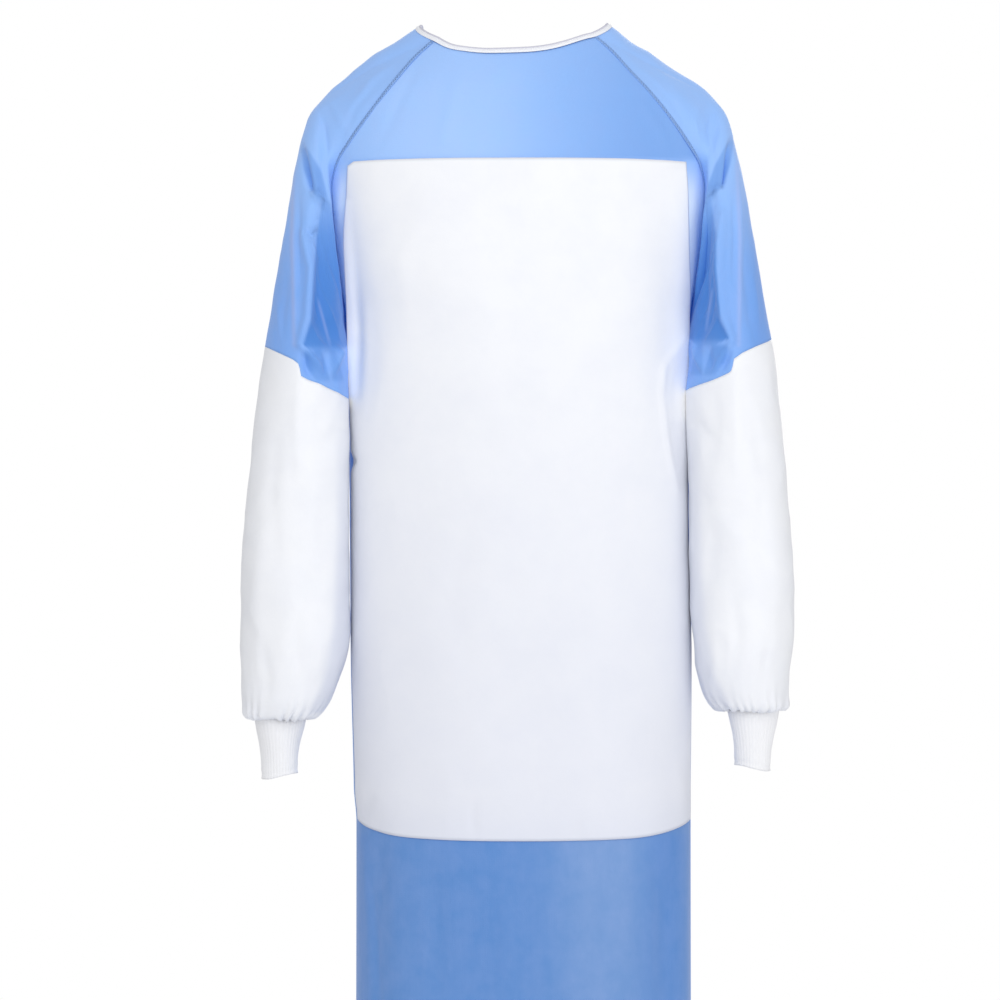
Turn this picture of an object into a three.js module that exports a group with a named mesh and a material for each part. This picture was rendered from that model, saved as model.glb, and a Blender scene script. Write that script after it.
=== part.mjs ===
// A surgical gown in its worn form: a hollow body, raglan sleeves, gathered lower sleeves and knit cuffs.
// Millimetres, +Z up. The front faces -Y. Heights are measured down from the origin, which is where the
// shoulders hold the gown, level with the two ends of the neck opening.
import * as THREE from "three";

// Cloth and seams
const WALL = 2;
const PANEL_WALL = 1.6;
const SEAM_GAP = 0.4;
const UNDERARM_SHARE = 0.7;
const LAYER_GAP = 0.35;
const TIE_GAP = 0.8;
const OVERLAP_LIFT = 5;

// Main heights
const UNDERARM = -330;
const PANEL_TOP = -163;
const PANEL_FOOT = -900;
const HEM = -1230;
const NECK_EDGE = -26;
const NECK_END = -6;
const WAIST_TIE = -492;

// The body's closed section at each height: half its width, how far it reaches forwards and backwards, and how
// far its middle lies towards +X
const BODY_SECTIONS = [
  { height: 0, halfWidth: 103, front: 50, back: 56, middle: 0 },
  { height: -40, halfWidth: 163, front: 72, back: 84, middle: 0 },
  { height: -88, halfWidth: 227, front: 92, back: 103, middle: 0 },
  { height: -140, halfWidth: 225, front: 106, back: 113, middle: 0 },
  { height: -190, halfWidth: 217, front: 113, back: 117, middle: 0 },
  { height: -240, halfWidth: 209, front: 117, back: 118, middle: 0 },
  { height: -290, halfWidth: 201.5, front: 119, back: 115, middle: 0 },
  { height: UNDERARM, halfWidth: 194.5, front: 119, back: 112, middle: 0 },
  { height: WAIST_TIE, halfWidth: 192, front: 117, back: 103, middle: 2 },
  { height: -700, halfWidth: 192, front: 121, back: 113, middle: 3.5 },
  { height: PANEL_FOOT, halfWidth: 189.5, front: 125, back: 120, middle: 5 },
  { height: HEM, halfWidth: 190, front: 133, back: 129, middle: 5 },
];
const SECTION_POWER = 0.84;

// Where the raglan seams cross the front and the back, measured sideways from the body's middle
const RAGLAN_SEAM = [
  { height: NECK_EDGE, front: 94, back: 87 },
  { height: -45, front: 114, back: 105 },
  { height: -70, front: 134, back: 125 },
  { height: -100, front: 157, back: 149 },
  { height: -140, front: 187, back: 180 },
  { height: -165, front: 203, back: 196 },
  { height: -190, front: 209, back: 204 },
  { height: -240, front: 206, back: 204 },
  { height: -290, front: 199.5, back: 199 },
  { height: UNDERARM, front: 194.5, back: 194.5 },
];

// The cloth's edge at the neck, across the front; the back's edge sinks evenly to its own middle
const FRONT_NECK = [
  { across: -94, height: NECK_EDGE },
  { across: -62, height: -37 },
  { across: -28, height: -40 },
  { across: 5, height: -39 },
  { across: 45, height: -34 },
  { across: 94, height: NECK_EDGE },
];
const BACK_NECK_SINK = 8;

// The front panel's two side edges, sideways from the body's middle, and the sag of its lower edge
const PANEL_EDGE = [
  { height: PANEL_TOP, left: 188.5, right: 185.5 },
  { height: -200, left: 191, right: 188 },
  { height: -240, left: 194, right: 188.5 },
  { height: UNDERARM, left: 191.5, right: 190.5 },
  { height: WAIST_TIE, left: 188.5, right: 189.5 },
  { height: -700, left: 188.5, right: 189 },
  { height: PANEL_FOOT, left: 186, right: 187 },
  { height: HEM, left: 186, right: 186 },
];
const PANEL_FOOT_SAG = 8;
const PANEL_FOOT_REACH = 90;

// Soft drape folds that run down the body: degrees round from the front's middle, and height in millimetres
const BODY_FOLDS = [
  { angle: -57, spread: 7, lift: -3, start: -860, full: -960 },
  { angle: 27, spread: 12, lift: 5, start: -880, full: -1040 },
  { angle: 57, spread: 9, lift: -4, start: -870, full: -1000 },
  { angle: -20, spread: 16, lift: -4, start: -920, full: -1120 },
  { angle: 108, spread: 8, lift: 3, start: -520, full: -760 },
  { angle: 124, spread: 8, lift: -6, start: -500, full: -700 },
  { angle: 141, spread: 9, lift: 7, start: -510, full: -820 },
  { angle: 160, spread: 8, lift: -6, start: -500, full: -740 },
  { angle: -111, spread: 9, lift: 3, start: -520, full: -800 },
  { angle: -130, spread: 9, lift: -7, start: -500, full: -720 },
  { angle: -150, spread: 10, lift: 6, start: -515, full: -780 },
];

// Rows of points along the raglan seams, and how far round the armhole each lands, in degrees from the shoulder
const SEAM_ROWS = [
  { height: NECK_EDGE, turn: 16 },
  { height: -45, turn: 23 },
  { height: -68, turn: 31 },
  { height: -91, turn: 38 },
  { height: -115, turn: 47 },
  { height: -139, turn: 58 },
  { height: PANEL_TOP, turn: 70 },
  { height: -190, turn: 84 },
  { height: -216, turn: 98 },
  { height: -245, turn: 112 },
  { height: -275, turn: 128 },
  { height: -303, turn: 148 },
  { height: UNDERARM, turn: 180 },
];
const NECK_TURNS = [0, 8];

// Rows of points from there down to the hem
const SKIRT_ROWS = [-395, -460, WAIST_TIE, -550, -620, -695, -770, -840, PANEL_FOOT, -960, -1030, -1100, -1165, HEM];
const BODY_ROWS = [...SEAM_ROWS.map((row) => row.height), ...SKIRT_ROWS];
const PANEL_COLUMNS = 18;
const EDGE_COLUMNS = 2;
const BACK_COLUMNS = 9;
const OVERLAP_COLUMNS = 3;
const OVERLAP_ANGLE = 22;
const OVERLAP_MARGIN = 3;

// The sleeve's rings for the side at +X: its outer line, its inner line, its half depth and how far forward it hangs
const SLEEVE_SECTIONS = [
  { outAcross: 218, outHeight: -82, inAcross: 195.6, inHeight: -334, depth: 66, forward: 3 },
  { outAcross: 231.5, outHeight: -99, inAcross: 196, inHeight: -336.5, depth: 66, forward: 8 },
  { outAcross: 239, outHeight: -119, inAcross: 195.8, inHeight: -340, depth: 66, forward: 14 },
  { outAcross: 246.5, outHeight: -149, inAcross: 195.3, inHeight: -346, depth: 65, forward: 20 },
  { outAcross: 254.7, outHeight: -198, inAcross: 194.2, inHeight: -354, depth: 63, forward: 30 },
  { outAcross: 263.9, outHeight: -249, inAcross: 192.9, inHeight: -367, depth: 61, forward: 38 },
  { outAcross: 273.3, outHeight: -304, inAcross: 192, inHeight: -388, depth: 60, forward: 44 },
  { outAcross: 282, outHeight: -358, inAcross: 191, inHeight: -415, depth: 59, forward: 46 },
];
const CAP_RINGS = 3;
const CAP_BULGE = 5;
const SHOULDER_NORMAL = { across: 0.58, up: 0.81 };
const SEAM_COLUMNS = SEAM_ROWS.length - 1;
const NECK_COLUMNS = NECK_TURNS.length;
const HALF_SLEEVE = NECK_COLUMNS + SEAM_COLUMNS;
const SLEEVE_COLUMNS = 2 * HALF_SLEEVE;

// The lower sleeve's rings, down to the edge that is gathered into the cuff
const FOREARM_SECTIONS = [
  { outAcross: 282, outHeight: -358, inAcross: 191, inHeight: -415, depth: 59, forward: 46, gather: 0 },
  { outAcross: 292.8, outHeight: -440, inAcross: 190, inHeight: -490, depth: 60, forward: 47, gather: 0 },
  { outAcross: 301.7, outHeight: -515, inAcross: 189.5, inHeight: -558, depth: 61, forward: 47, gather: 0 },
  { outAcross: 308.1, outHeight: -597, inAcross: 189.5, inHeight: -632, depth: 61, forward: 47, gather: 0 },
  { outAcross: 310.6, outHeight: -673, inAcross: 190.8, inHeight: -691, depth: 60, forward: 46, gather: 0.4 },
  { outAcross: 308.8, outHeight: -725, inAcross: 199.5, inHeight: -731, depth: 57, forward: 45, gather: 1.6 },
  { outAcross: 304.9, outHeight: -754, inAcross: 211, inHeight: -756, depth: 51, forward: 44, gather: 2.8 },
  { outAcross: 299.2, outHeight: -765, inAcross: 223.5, inHeight: -766, depth: 41, forward: 44, gather: 3 },
  { outAcross: 293.2, outHeight: -767.5, inAcross: 234, inHeight: -768.5, depth: 28.5, forward: 44, gather: 1.4 },
];
const GATHERS = 20;
const GATHER_UNEVENNESS = 0.35;
const GATHER_BEAT = 2.3;
const FOREARM_COLUMNS = 2 * GATHERS;
const LEFT_DROP = 9;
const DROP_START = -150;
const DROP_END = -380;
const SHIFT_START = -690;
const SHIFT_END = -750;

// The knit cuff: height below its seam, half width and half depth
const CUFF_SECTIONS = [
  { below: 0, halfWidth: 29, halfDepth: 27.5 },
  { below: 14, halfWidth: 26, halfDepth: 26 },
  { below: 32, halfWidth: 21.5, halfDepth: 23.5 },
  { below: 50, halfWidth: 19, halfDepth: 22 },
  { below: 66, halfWidth: 18.5, halfDepth: 21.5 },
];
const CUFF_TOP = -769;
const CUFF_ACROSS = 263.6;
const CUFF_FORWARD = 44;
const CUFF_WALL = 2;
const CUFF_RIBS = 24;
const RIB_LIFT = 0.8;

// The neck binding's section: out from the cloth's face, and up from its edge
const BINDING_SECTION = [
  { out: 0.9, up: 0.4 },
  { out: 1.3, up: 3.5 },
  { out: 0.9, up: 7 },
  { out: -1, up: 8.4 },
  { out: -2.9, up: 7 },
  { out: -3.3, up: 3.5 },
  { out: -2.9, up: 0.4 },
];

// Closure tab at the back of the neck, and the waist ties with their knot and two tails
const TAB_FIRST_ROW = 1;
const TAB_LAST_ROW = 2;
const TAB_COLUMNS = 3;
const TAB_WALL = 1.6;
const TIE_HALF_HEIGHT = 13;
const TIE_WALL = 1.6;
const TIE_START = 97;
const TIE_END = 175.5;
const TIE_COLUMNS = 14;
const TIE_PINCH = 0.45;
const STEP_UP_START = 132;
const STEP_UP_END = 152;
const KNOT = { halfWidth: 16, halfDepth: 7, halfHeight: 14, power: 0.5, columns: 12, rows: 8 };
const TAILS = [
  { name: "tie_tail_left", across: -8, lean: -20, length: 190 },
  { name: "tie_tail_right", across: 8, lean: 30, length: 225 },
];
const TAIL_ROWS = 9;
const TAIL_TOP_WIDTH = 13;
const TAIL_WIDTH = 25;

const COLOURS = {
  blue: { color: 0x84aee8, roughness: 0.75, metalness: 0 },
  white: { color: 0xeef0fa, roughness: 0.7, metalness: 0 },
  knit: { color: 0xf1f1f4, roughness: 0.95, metalness: 0 },
  binding: { color: 0xf3f4f8, roughness: 0.8, metalness: 0 },
};

const toRadians = THREE.MathUtils.degToRad;
const toDegrees = THREE.MathUtils.radToDeg;

// A smooth curve through a table's rows that never swings past them
function tableCurve(rows, keyName, columnName) {
  const points = rows.map((row) => ({ at: row[keyName], value: row[columnName] }));
  points.sort((a, b) => a.at - b.at);
  const rises = points.slice(1).map((point, i) => (point.value - points[i].value) / (point.at - points[i].at));
  const slopes = points.map((point, i) => {
    if (i === 0) return rises[0];
    if (i === rises.length) return rises[i - 1];
    const product = rises[i - 1] * rises[i];
    return product <= 0 ? 0 : (2 * product) / (rises[i - 1] + rises[i]);
  });
  return (at) => {
    let i = 0;
    while (i < points.length - 2 && at > points[i + 1].at) i += 1;
    const span = points[i + 1].at - points[i].at;
    const t = THREE.MathUtils.clamp((at - points[i].at) / span, 0, 1);
    const square = t * t;
    const cube = square * t;
    return (
      (2 * cube - 3 * square + 1) * points[i].value +
      (cube - 2 * square + t) * span * slopes[i] +
      (3 * square - 2 * cube) * points[i + 1].value +
      (cube - square) * span * slopes[i + 1]
    );
  };
}

const halfWidthAt = tableCurve(BODY_SECTIONS, "height", "halfWidth");
const frontDepthAt = tableCurve(BODY_SECTIONS, "height", "front");
const backDepthAt = tableCurve(BODY_SECTIONS, "height", "back");
const seamAt = {
  front: tableCurve(RAGLAN_SEAM, "height", "front"),
  back: tableCurve(RAGLAN_SEAM, "height", "back"),
};
const frontNeckAt = tableCurve(FRONT_NECK, "across", "height");
const middleAt = tableCurve(BODY_SECTIONS, "height", "middle");
const panelEdgeAt = {
  left: tableCurve(PANEL_EDGE, "height", "left"),
  right: tableCurve(PANEL_EDGE, "height", "right"),
};

// How far the drape folds push the body's surface out at a place
function foldLift(angle, height) {
  let lift = 0;
  for (const fold of BODY_FOLDS) {
    const offset = THREE.MathUtils.euclideanModulo(angle - fold.angle + 180, 360) - 180;
    const nearness = Math.exp(-((offset / fold.spread) ** 2));
    const growth = THREE.MathUtils.smoothstep(-height, -fold.start, -fold.full);
    lift += fold.lift * growth * nearness;
  }
  return lift;
}

// A point of the body's outer face, at degrees round from the front's middle towards +X
function bodyPoint(angle, height, lift = 0) {
  const sine = Math.sin(toRadians(angle));
  const cosine = Math.cos(toRadians(angle));
  const depth = cosine > 0 ? frontDepthAt(height) : backDepthAt(height);
  const x = halfWidthAt(height) * Math.sign(sine) * Math.abs(sine) ** SECTION_POWER;
  const y = -depth * Math.sign(cosine) * Math.abs(cosine) ** SECTION_POWER;
  const out = (lift + foldLift(angle, height)) / Math.hypot(x, y);
  return new THREE.Vector3(x * (1 + out) + middleAt(height), y * (1 + out), height);
}

// Degrees round the body to a place that lies sideways from its middle
function angleTo(across, height) {
  const share = Math.min(1, across / halfWidthAt(height));
  return toDegrees(Math.asin(share ** (1 / SECTION_POWER)));
}

function seamAngle(face, height) {
  if (height <= UNDERARM) return 90;
  const angle = angleTo(seamAt[face](height), height);
  return face === "front" ? angle : 180 - angle;
}

function panelAngle(height, side) {
  const from = Math.min(height, PANEL_TOP);
  const angle = angleTo(panelEdgeAt[side](from), from);
  return height > PANEL_TOP ? (angle / seamAngle("front", PANEL_TOP)) * seamAngle("front", height) : angle;
}

// A cloth is a grid of outer points with their outward normals; closed ones join their last column to the first
function makeCloth(points, closed) {
  const columns = points[0].length;
  const normals = points.map((row, i) =>
    row.map((point, j) => {
      const before = closed ? row[(j + columns - 1) % columns] : row[Math.max(j - 1, 0)];
      const after = closed ? row[(j + 1) % columns] : row[Math.min(j + 1, columns - 1)];
      const above = points[Math.max(i - 1, 0)][j];
      const below = points[Math.min(i + 1, points.length - 1)][j];
      const along = new THREE.Vector3().subVectors(after, before);
      const down = new THREE.Vector3().subVectors(below, above);
      return new THREE.Vector3().crossVectors(along, down).normalize();
    }),
  );
  if (outwardShare(points, normals) < 0) normals.flat().forEach((normal) => normal.negate());
  return { points, normals, closed };
}

// Positive where most normals point away from the middle of their own row
function outwardShare(points, normals) {
  let share = 0;
  points.forEach((row, i) => {
    const middle = row.reduce((sum, point) => sum.add(point), new THREE.Vector3()).divideScalar(row.length);
    row.forEach((point, j) => {
      share += normals[i][j].dot(new THREE.Vector3().subVectors(point, middle));
    });
  });
  return share;
}

// Two cloths that meet along a seam get one wall direction there, and stand a seam's gap apart.
// An edge lists places of a cloth's grid, each with the step that leads on into the cloth.
function joinSeam(first, firstEdge, second, secondEdge) {
  const pick = (cloth, row, column) => cloth.points[row][column].clone();
  const seam = firstEdge.map(({ row, column }) => pick(first, row, column));
  const inFirst = firstEdge.map(({ row, column, step }) => pick(first, row + step[0], column + step[1]));
  const inSecond = secondEdge.map(({ row, column, step }) => pick(second, row + step[0], column + step[1]));
  seam.forEach((point, k) => {
    const a = firstEdge[k];
    const b = secondEdge[k];
    const normal = first.normals[a.row][a.column].clone().add(second.normals[b.row][b.column]).normalize();
    const before = seam[Math.max(k - 1, 0)];
    const after = seam[Math.min(k + 1, seam.length - 1)];
    const across = new THREE.Vector3().subVectors(after, before).cross(normal).normalize();
    if (across.dot(new THREE.Vector3().subVectors(inSecond[k], inFirst[k])) < 0) across.negate();
    first.normals[a.row][a.column].copy(normal);
    second.normals[b.row][b.column].copy(normal);
    first.points[a.row][a.column].addScaledVector(across, -SEAM_GAP / 2);
    second.points[b.row][b.column].addScaledVector(across, SEAM_GAP / 2);
  });
}

// A closed wall between an outer and an inner grid of points
function wallGeometry(outer, inner, closed) {
  const rows = outer.length;
  const columns = outer[0].length;
  const points = [...outer.flat(), ...inner.flat()];
  const innerStart = rows * columns;
  const indices = [];
  const quad = (a, b, c, d) => indices.push(a, b, c, a, c, d);
  const spans = closed ? columns : columns - 1;
  const at = (i, j) => i * columns + (j % columns);
  for (let i = 0; i < rows - 1; i += 1) {
    for (let j = 0; j < spans; j += 1) {
      const [a, b, c, d] = [at(i, j), at(i + 1, j), at(i + 1, j + 1), at(i, j + 1)];
      quad(a, b, c, d);
      quad(innerStart + a, innerStart + d, innerStart + c, innerStart + b);
    }
  }
  const rim = (a, b) => quad(a, b, innerStart + b, innerStart + a);
  for (let j = 0; j < spans; j += 1) {
    rim(at(0, j), at(0, j + 1));
    rim(at(rows - 1, j + 1), at(rows - 1, j));
  }
  for (let i = 0; i < rows - 1 && !closed; i += 1) {
    rim(at(i + 1, 0), at(i, 0));
    rim(at(i, columns - 1), at(i + 1, columns - 1));
  }
  return solidGeometry(points, indices);
}

// A solid swept through rings of points, with flat ends
function sweptGeometry(rings) {
  const columns = rings[0].length;
  const indices = [];
  for (let i = 0; i < rings.length - 1; i += 1) {
    for (let j = 0; j < columns; j += 1) {
      const a = i * columns + j;
      const b = i * columns + ((j + 1) % columns);
      indices.push(a, b, b + columns, a, b + columns, a + columns);
    }
  }
  const last = (rings.length - 1) * columns;
  for (let j = 1; j < columns - 1; j += 1) {
    indices.push(0, j + 1, j, last, last + j, last + j + 1);
  }
  return solidGeometry(rings.flat(), indices);
}

// Faces are turned to point out of the solid
function solidGeometry(points, indices) {
  let volume = 0;
  for (let i = 0; i < indices.length; i += 3) {
    const [a, b, c] = [points[indices[i]], points[indices[i + 1]], points[indices[i + 2]]];
    volume += a.dot(new THREE.Vector3().crossVectors(b, c));
  }
  const geometry = new THREE.BufferGeometry().setFromPoints(points);
  geometry.setIndex(volume > 0 ? indices : indices.slice().reverse());
  geometry.computeVertexNormals();
  return geometry;
}

// The points of a cloth moved along its normals
function movedPoints(cloth, distance) {
  return cloth.points.map((row, i) =>
    row.map((point, j) => point.clone().addScaledVector(cloth.normals[i][j], distance)),
  );
}

function clothGeometry(cloth, wall = WALL) {
  return wallGeometry(cloth.points, movedPoints(cloth, -wall), cloth.closed);
}

// Fades out the neck's dip from the neck's edge down to the panel's top
function neckFade(rowHeight) {
  return THREE.MathUtils.clamp((rowHeight - PANEL_TOP) / (NECK_EDGE - PANEL_TOP), 0, 1);
}

// Near the neck a row follows the neck's edge, and near the panel's foot it sags with it
function frontPoint(angle, rowHeight, share) {
  const across = bodyPoint(angle, rowHeight).x;
  const footFade = Math.max(0, 1 - Math.abs(rowHeight - PANEL_FOOT) / PANEL_FOOT_REACH);
  const neckDip = (frontNeckAt(across) - NECK_EDGE) * neckFade(rowHeight);
  const footDip = -PANEL_FOOT_SAG * (1 - share ** 2) * footFade;
  return bodyPoint(angle, rowHeight + neckDip + footDip);
}

// The front: its columns spread over the panel's width, then go on to the seams
function frontCloth() {
  const panelHalf = PANEL_COLUMNS / 2;
  const half = panelHalf + EDGE_COLUMNS;
  const rows = BODY_ROWS.map((rowHeight) => {
    const edge = seamAngle("front", rowHeight);
    const row = [];
    for (let column = -half; column <= half; column += 1) {
      const step = Math.abs(column);
      const panel = panelAngle(rowHeight, column < 0 ? "left" : "right");
      const inside = (step / panelHalf) * panel;
      const beyond = panel + ((step - panelHalf) / EDGE_COLUMNS) * (edge - panel);
      const angle = Math.sign(column) * (step <= panelHalf ? inside : beyond);
      const isEdge = step === half;
      row.push(isEdge ? bodyPoint(angle, rowHeight) : frontPoint(angle, rowHeight, step / half));
    }
    return row;
  });
  return makeCloth(rows, false);
}

// A back runs from its side seam past the centre back; the upper one is lifted over the lower one
function backCloth(side, middleLift) {
  const last = BACK_COLUMNS + OVERLAP_COLUMNS;
  const rows = BODY_ROWS.map((rowHeight) => {
    const edge = seamAngle("back", rowHeight);
    const row = [];
    for (let column = 0; column <= last; column += 1) {
      const inside = Math.min(1, column / BACK_COLUMNS);
      const beyond = Math.max(0, column - BACK_COLUMNS) / OVERLAP_COLUMNS;
      const angle = edge + (180 - edge) * inside + OVERLAP_ANGLE * beyond;
      const sink = BACK_NECK_SINK * neckFade(rowHeight) * Math.sin((Math.PI / 2) * inside);
      const overlapStart = 180 - OVERLAP_ANGLE - OVERLAP_MARGIN;
      const lift = middleLift * THREE.MathUtils.smoothstep(angle, edge, overlapStart);
      row.push(bodyPoint(side * angle, rowHeight - sink, lift));
    }
    return row;
  });
  return makeCloth(rows, false);
}

// The sleeve's first ring is its seam with the body: over the neck's end, down the front, up the back
function seamLoop(side) {
  const [frontHalf, backHalf] = ["front", "back"].map((face) => {
    const line = [];
    for (let k = 0; k < NECK_COLUMNS; k += 1) {
      const share = k / NECK_COLUMNS;
      const angle = THREE.MathUtils.lerp(90, seamAngle(face, NECK_EDGE), share);
      const height = THREE.MathUtils.lerp(NECK_END, NECK_EDGE, share ** 1.4);
      line.push(bodyPoint(side * angle, height));
    }
    for (const { height } of SEAM_ROWS) line.push(bodyPoint(side * seamAngle(face, height), height));
    return line;
  });
  return [...frontHalf, ...backHalf.slice(1, -1).reverse()];
}

// The left sleeve hangs a little lower than the right one
function sleeveDrop(side, height) {
  return side > 0 ? 0 : LEFT_DROP * THREE.MathUtils.smoothstep(-height, -DROP_START, -DROP_END);
}

// A point of a sleeve's ring: turn 0 is its outer line, half a turn its inner line, which follows the body's middle
function ringPoint(section, turn, side, gather = 0) {
  const theta = 2 * Math.PI * turn;
  const outHeight = section.outHeight - sleeveDrop(side, section.outHeight);
  const inHeight = section.inHeight - sleeveDrop(side, section.inHeight);
  const middle = (section.outAcross + section.inAcross) / 2;
  const reach = (section.outAcross - section.inAcross) / 2 + gather;
  const height = (outHeight + inHeight) / 2 + ((outHeight - inHeight) / 2) * Math.cos(theta);
  const across = middle + reach * Math.cos(theta);
  const wristShare = THREE.MathUtils.smoothstep(-height, -SHIFT_START, -SHIFT_END);
  const shift = (middleAt(height) * (1 - wristShare) * (1 - Math.cos(theta))) / 2;
  const x = side * across + shift;
  return new THREE.Vector3(x, -section.forward - (section.depth + gather) * Math.sin(theta), height);
}

// Turns of the armhole's points, which even out down the sleeve
function sleeveTurn(column, evenness) {
  const step = Math.min(column, SLEEVE_COLUMNS - column);
  const degrees = step < NECK_COLUMNS ? NECK_TURNS[step] : SEAM_ROWS[step - NECK_COLUMNS].turn;
  const turn = column <= HALF_SLEEVE ? degrees / 360 : 1 - degrees / 360;
  return THREE.MathUtils.lerp(turn, column / SLEEVE_COLUMNS, evenness);
}

function sleeveCloth(side) {
  const loop = seamLoop(side);
  const rings = SLEEVE_SECTIONS.map((section, k) => {
    const evenness = k / (SLEEVE_SECTIONS.length - 1);
    return loop.map((_, j) => ringPoint(section, sleeveTurn(j, evenness), side));
  });
  const capRings = [loop];
  for (let k = 1; k < CAP_RINGS; k += 1) {
    const share = k / CAP_RINGS;
    const ring = loop.map((point, j) => {
      const topShare = Math.max(0, Math.cos(2 * Math.PI * sleeveTurn(j, 0)));
      const bulge = CAP_BULGE * Math.sin(Math.PI * share) * topShare;
      const out = new THREE.Vector3(side * SHOULDER_NORMAL.across, 0, SHOULDER_NORMAL.up);
      return point.clone().lerp(rings[0][j], share).addScaledVector(out, bulge);
    });
    capRings.push(ring);
  }
  return makeCloth([...capRings, ...rings], true);
}

function forearmCloth(side) {
  const rings = FOREARM_SECTIONS.map((section, k) => {
    const ring = [];
    for (let j = 0; j < FOREARM_COLUMNS; j += 1) {
      const uneven = 1 + GATHER_UNEVENNESS * Math.sin(GATHER_BEAT * j);
      const gather = (j % 2 === 0 ? 0.5 : -0.5) * section.gather * uneven;
      const point = ringPoint(section, j / FOREARM_COLUMNS, side, gather);
      if (k === 0) point.z -= SEAM_GAP;
      ring.push(point);
    }
    return ring;
  });
  return makeCloth(rings, true);
}

// Ribs are raised on the cuff's outer face over a plain inside
function cuffGeometry(side) {
  const top = CUFF_TOP - (side < 0 ? LEFT_DROP : 0);
  const columns = 2 * CUFF_RIBS;
  const ring = (section, reachAt) => {
    const row = [];
    for (let j = 0; j < columns; j += 1) {
      const theta = (2 * Math.PI * j) / columns;
      const across = CUFF_ACROSS + (section.halfWidth + reachAt(j)) * Math.cos(theta);
      const y = (section.halfDepth + reachAt(j)) * Math.sin(theta) - CUFF_FORWARD;
      row.push(new THREE.Vector3(side * across, y, top - section.below));
    }
    return row;
  };
  const outer = CUFF_SECTIONS.map((section) => ring(section, (j) => (j % 2) * RIB_LIFT));
  const inner = CUFF_SECTIONS.map((section) => ring(section, () => -CUFF_WALL));
  return wallGeometry(outer, inner, true);
}

// A patch of a cloth's points, laid on its outer face
function overlayGeometry(cloth, rows, columns, wall) {
  const crop = (grid) => grid.slice(rows[0], rows[1] + 1).map((row) => row.slice(columns[0], columns[1] + 1));
  const outer = crop(movedPoints(cloth, LAYER_GAP + wall));
  const inner = crop(movedPoints(cloth, LAYER_GAP));
  return wallGeometry(outer, inner, false);
}

// The neck's edge, walked from one back's free end round the front to the other's
function neckStops() {
  const stops = [];
  const add = (cloth, column) => {
    const point = cloth.points[0][column];
    const up = new THREE.Vector3().subVectors(point, cloth.points[1][column]).normalize();
    stops.push({ point, normal: cloth.normals[0][column], up });
  };
  const addSleeve = (sleeve, turn) => {
    for (let k = NECK_COLUMNS - 1; k > -NECK_COLUMNS; k -= 1) {
      add(sleeve, THREE.MathUtils.euclideanModulo(turn * k, SLEEVE_COLUMNS));
    }
  };
  const freeEnd = BACK_COLUMNS + OVERLAP_COLUMNS;
  for (let column = freeEnd; column >= 0; column -= 1) add(backs.right, column);
  addSleeve(sleeves.right, -1);
  for (let column = front.points[0].length - 1; column >= 0; column -= 1) add(front, column);
  addSleeve(sleeves.left, 1);
  for (let column = 0; column <= freeEnd; column += 1) add(backs.left, column);
  return stops;
}

function bindingGeometry() {
  const rings = neckStops().map(({ point, normal, up }) =>
    BINDING_SECTION.map((corner) =>
      point.clone().addScaledVector(normal, corner.out).addScaledVector(up, corner.up),
    ),
  );
  return sweptGeometry(rings);
}

// A waist tie runs round the back from the side to the knot, over the upper back's free edge
function tieGeometry(side) {
  const rows = [TIE_HALF_HEIGHT, 0, -TIE_HALF_HEIGHT].map((above) => {
    const row = [];
    for (let k = 0; k <= TIE_COLUMNS; k += 1) {
      const angle = THREE.MathUtils.lerp(TIE_START, TIE_END, k / TIE_COLUMNS);
      const pinch = 1 - (1 - TIE_PINCH) * THREE.MathUtils.smoothstep(k, TIE_COLUMNS / 2, TIE_COLUMNS);
      const overlapStart = 180 - OVERLAP_ANGLE - OVERLAP_MARGIN;
      const start = side > 0 ? STEP_UP_START : 90;
      const end = side > 0 ? STEP_UP_END : overlapStart;
      const lift = OVERLAP_LIFT * THREE.MathUtils.smoothstep(angle, start, end);
      row.push(bodyPoint(side * angle, WAIST_TIE + above * pinch, lift + TIE_GAP + TIE_WALL));
    }
    return row;
  });
  return clothGeometry(makeCloth(rows, false), TIE_WALL);
}

// The knot: a small rounded block on the centre back
function knotGeometry() {
  const middle = bodyPoint(180, WAIST_TIE, OVERLAP_LIFT + TIE_GAP + KNOT.halfDepth);
  const rounded = (value) => Math.sign(value) * Math.abs(value) ** KNOT.power;
  const rings = [];
  for (let i = 1; i < KNOT.rows; i += 1) {
    const polar = (Math.PI * i) / KNOT.rows;
    const ring = [];
    for (let j = 0; j < KNOT.columns; j += 1) {
      const theta = (2 * Math.PI * j) / KNOT.columns;
      const girth = rounded(Math.sin(polar));
      const place = new THREE.Vector3(
        KNOT.halfWidth * girth * rounded(Math.cos(theta)),
        KNOT.halfDepth * girth * rounded(Math.sin(theta)),
        KNOT.halfHeight * rounded(Math.cos(polar)),
      );
      ring.push(place.add(middle));
    }
    rings.push(ring);
  }
  return sweptGeometry(rings);
}

// A tail hangs from the knot down the upper back
function tailGeometry(tail) {
  const top = WAIST_TIE - KNOT.halfHeight - LAYER_GAP;
  const rows = [];
  for (let i = 0; i < TAIL_ROWS; i += 1) {
    const share = i / (TAIL_ROWS - 1);
    const height = top - tail.length * share;
    const width = THREE.MathUtils.lerp(TAIL_TOP_WIDTH, TAIL_WIDTH, THREE.MathUtils.smoothstep(share, 0, 0.4));
    const middle = tail.across + tail.lean * share;
    const row = [-0.5, 0, 0.5].map((part) => backPoint(middle + part * width, height));
    rows.push(row);
  }
  return clothGeometry(makeCloth(rows, false), TIE_WALL);
}

// A place on the upper back's face, sideways from the centre
function backPoint(across, height) {
  const angle = 180 - angleTo(Math.abs(across), height);
  return bodyPoint(Math.sign(across) * angle, height, OVERLAP_LIFT + TIE_GAP + TIE_WALL);
}

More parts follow.
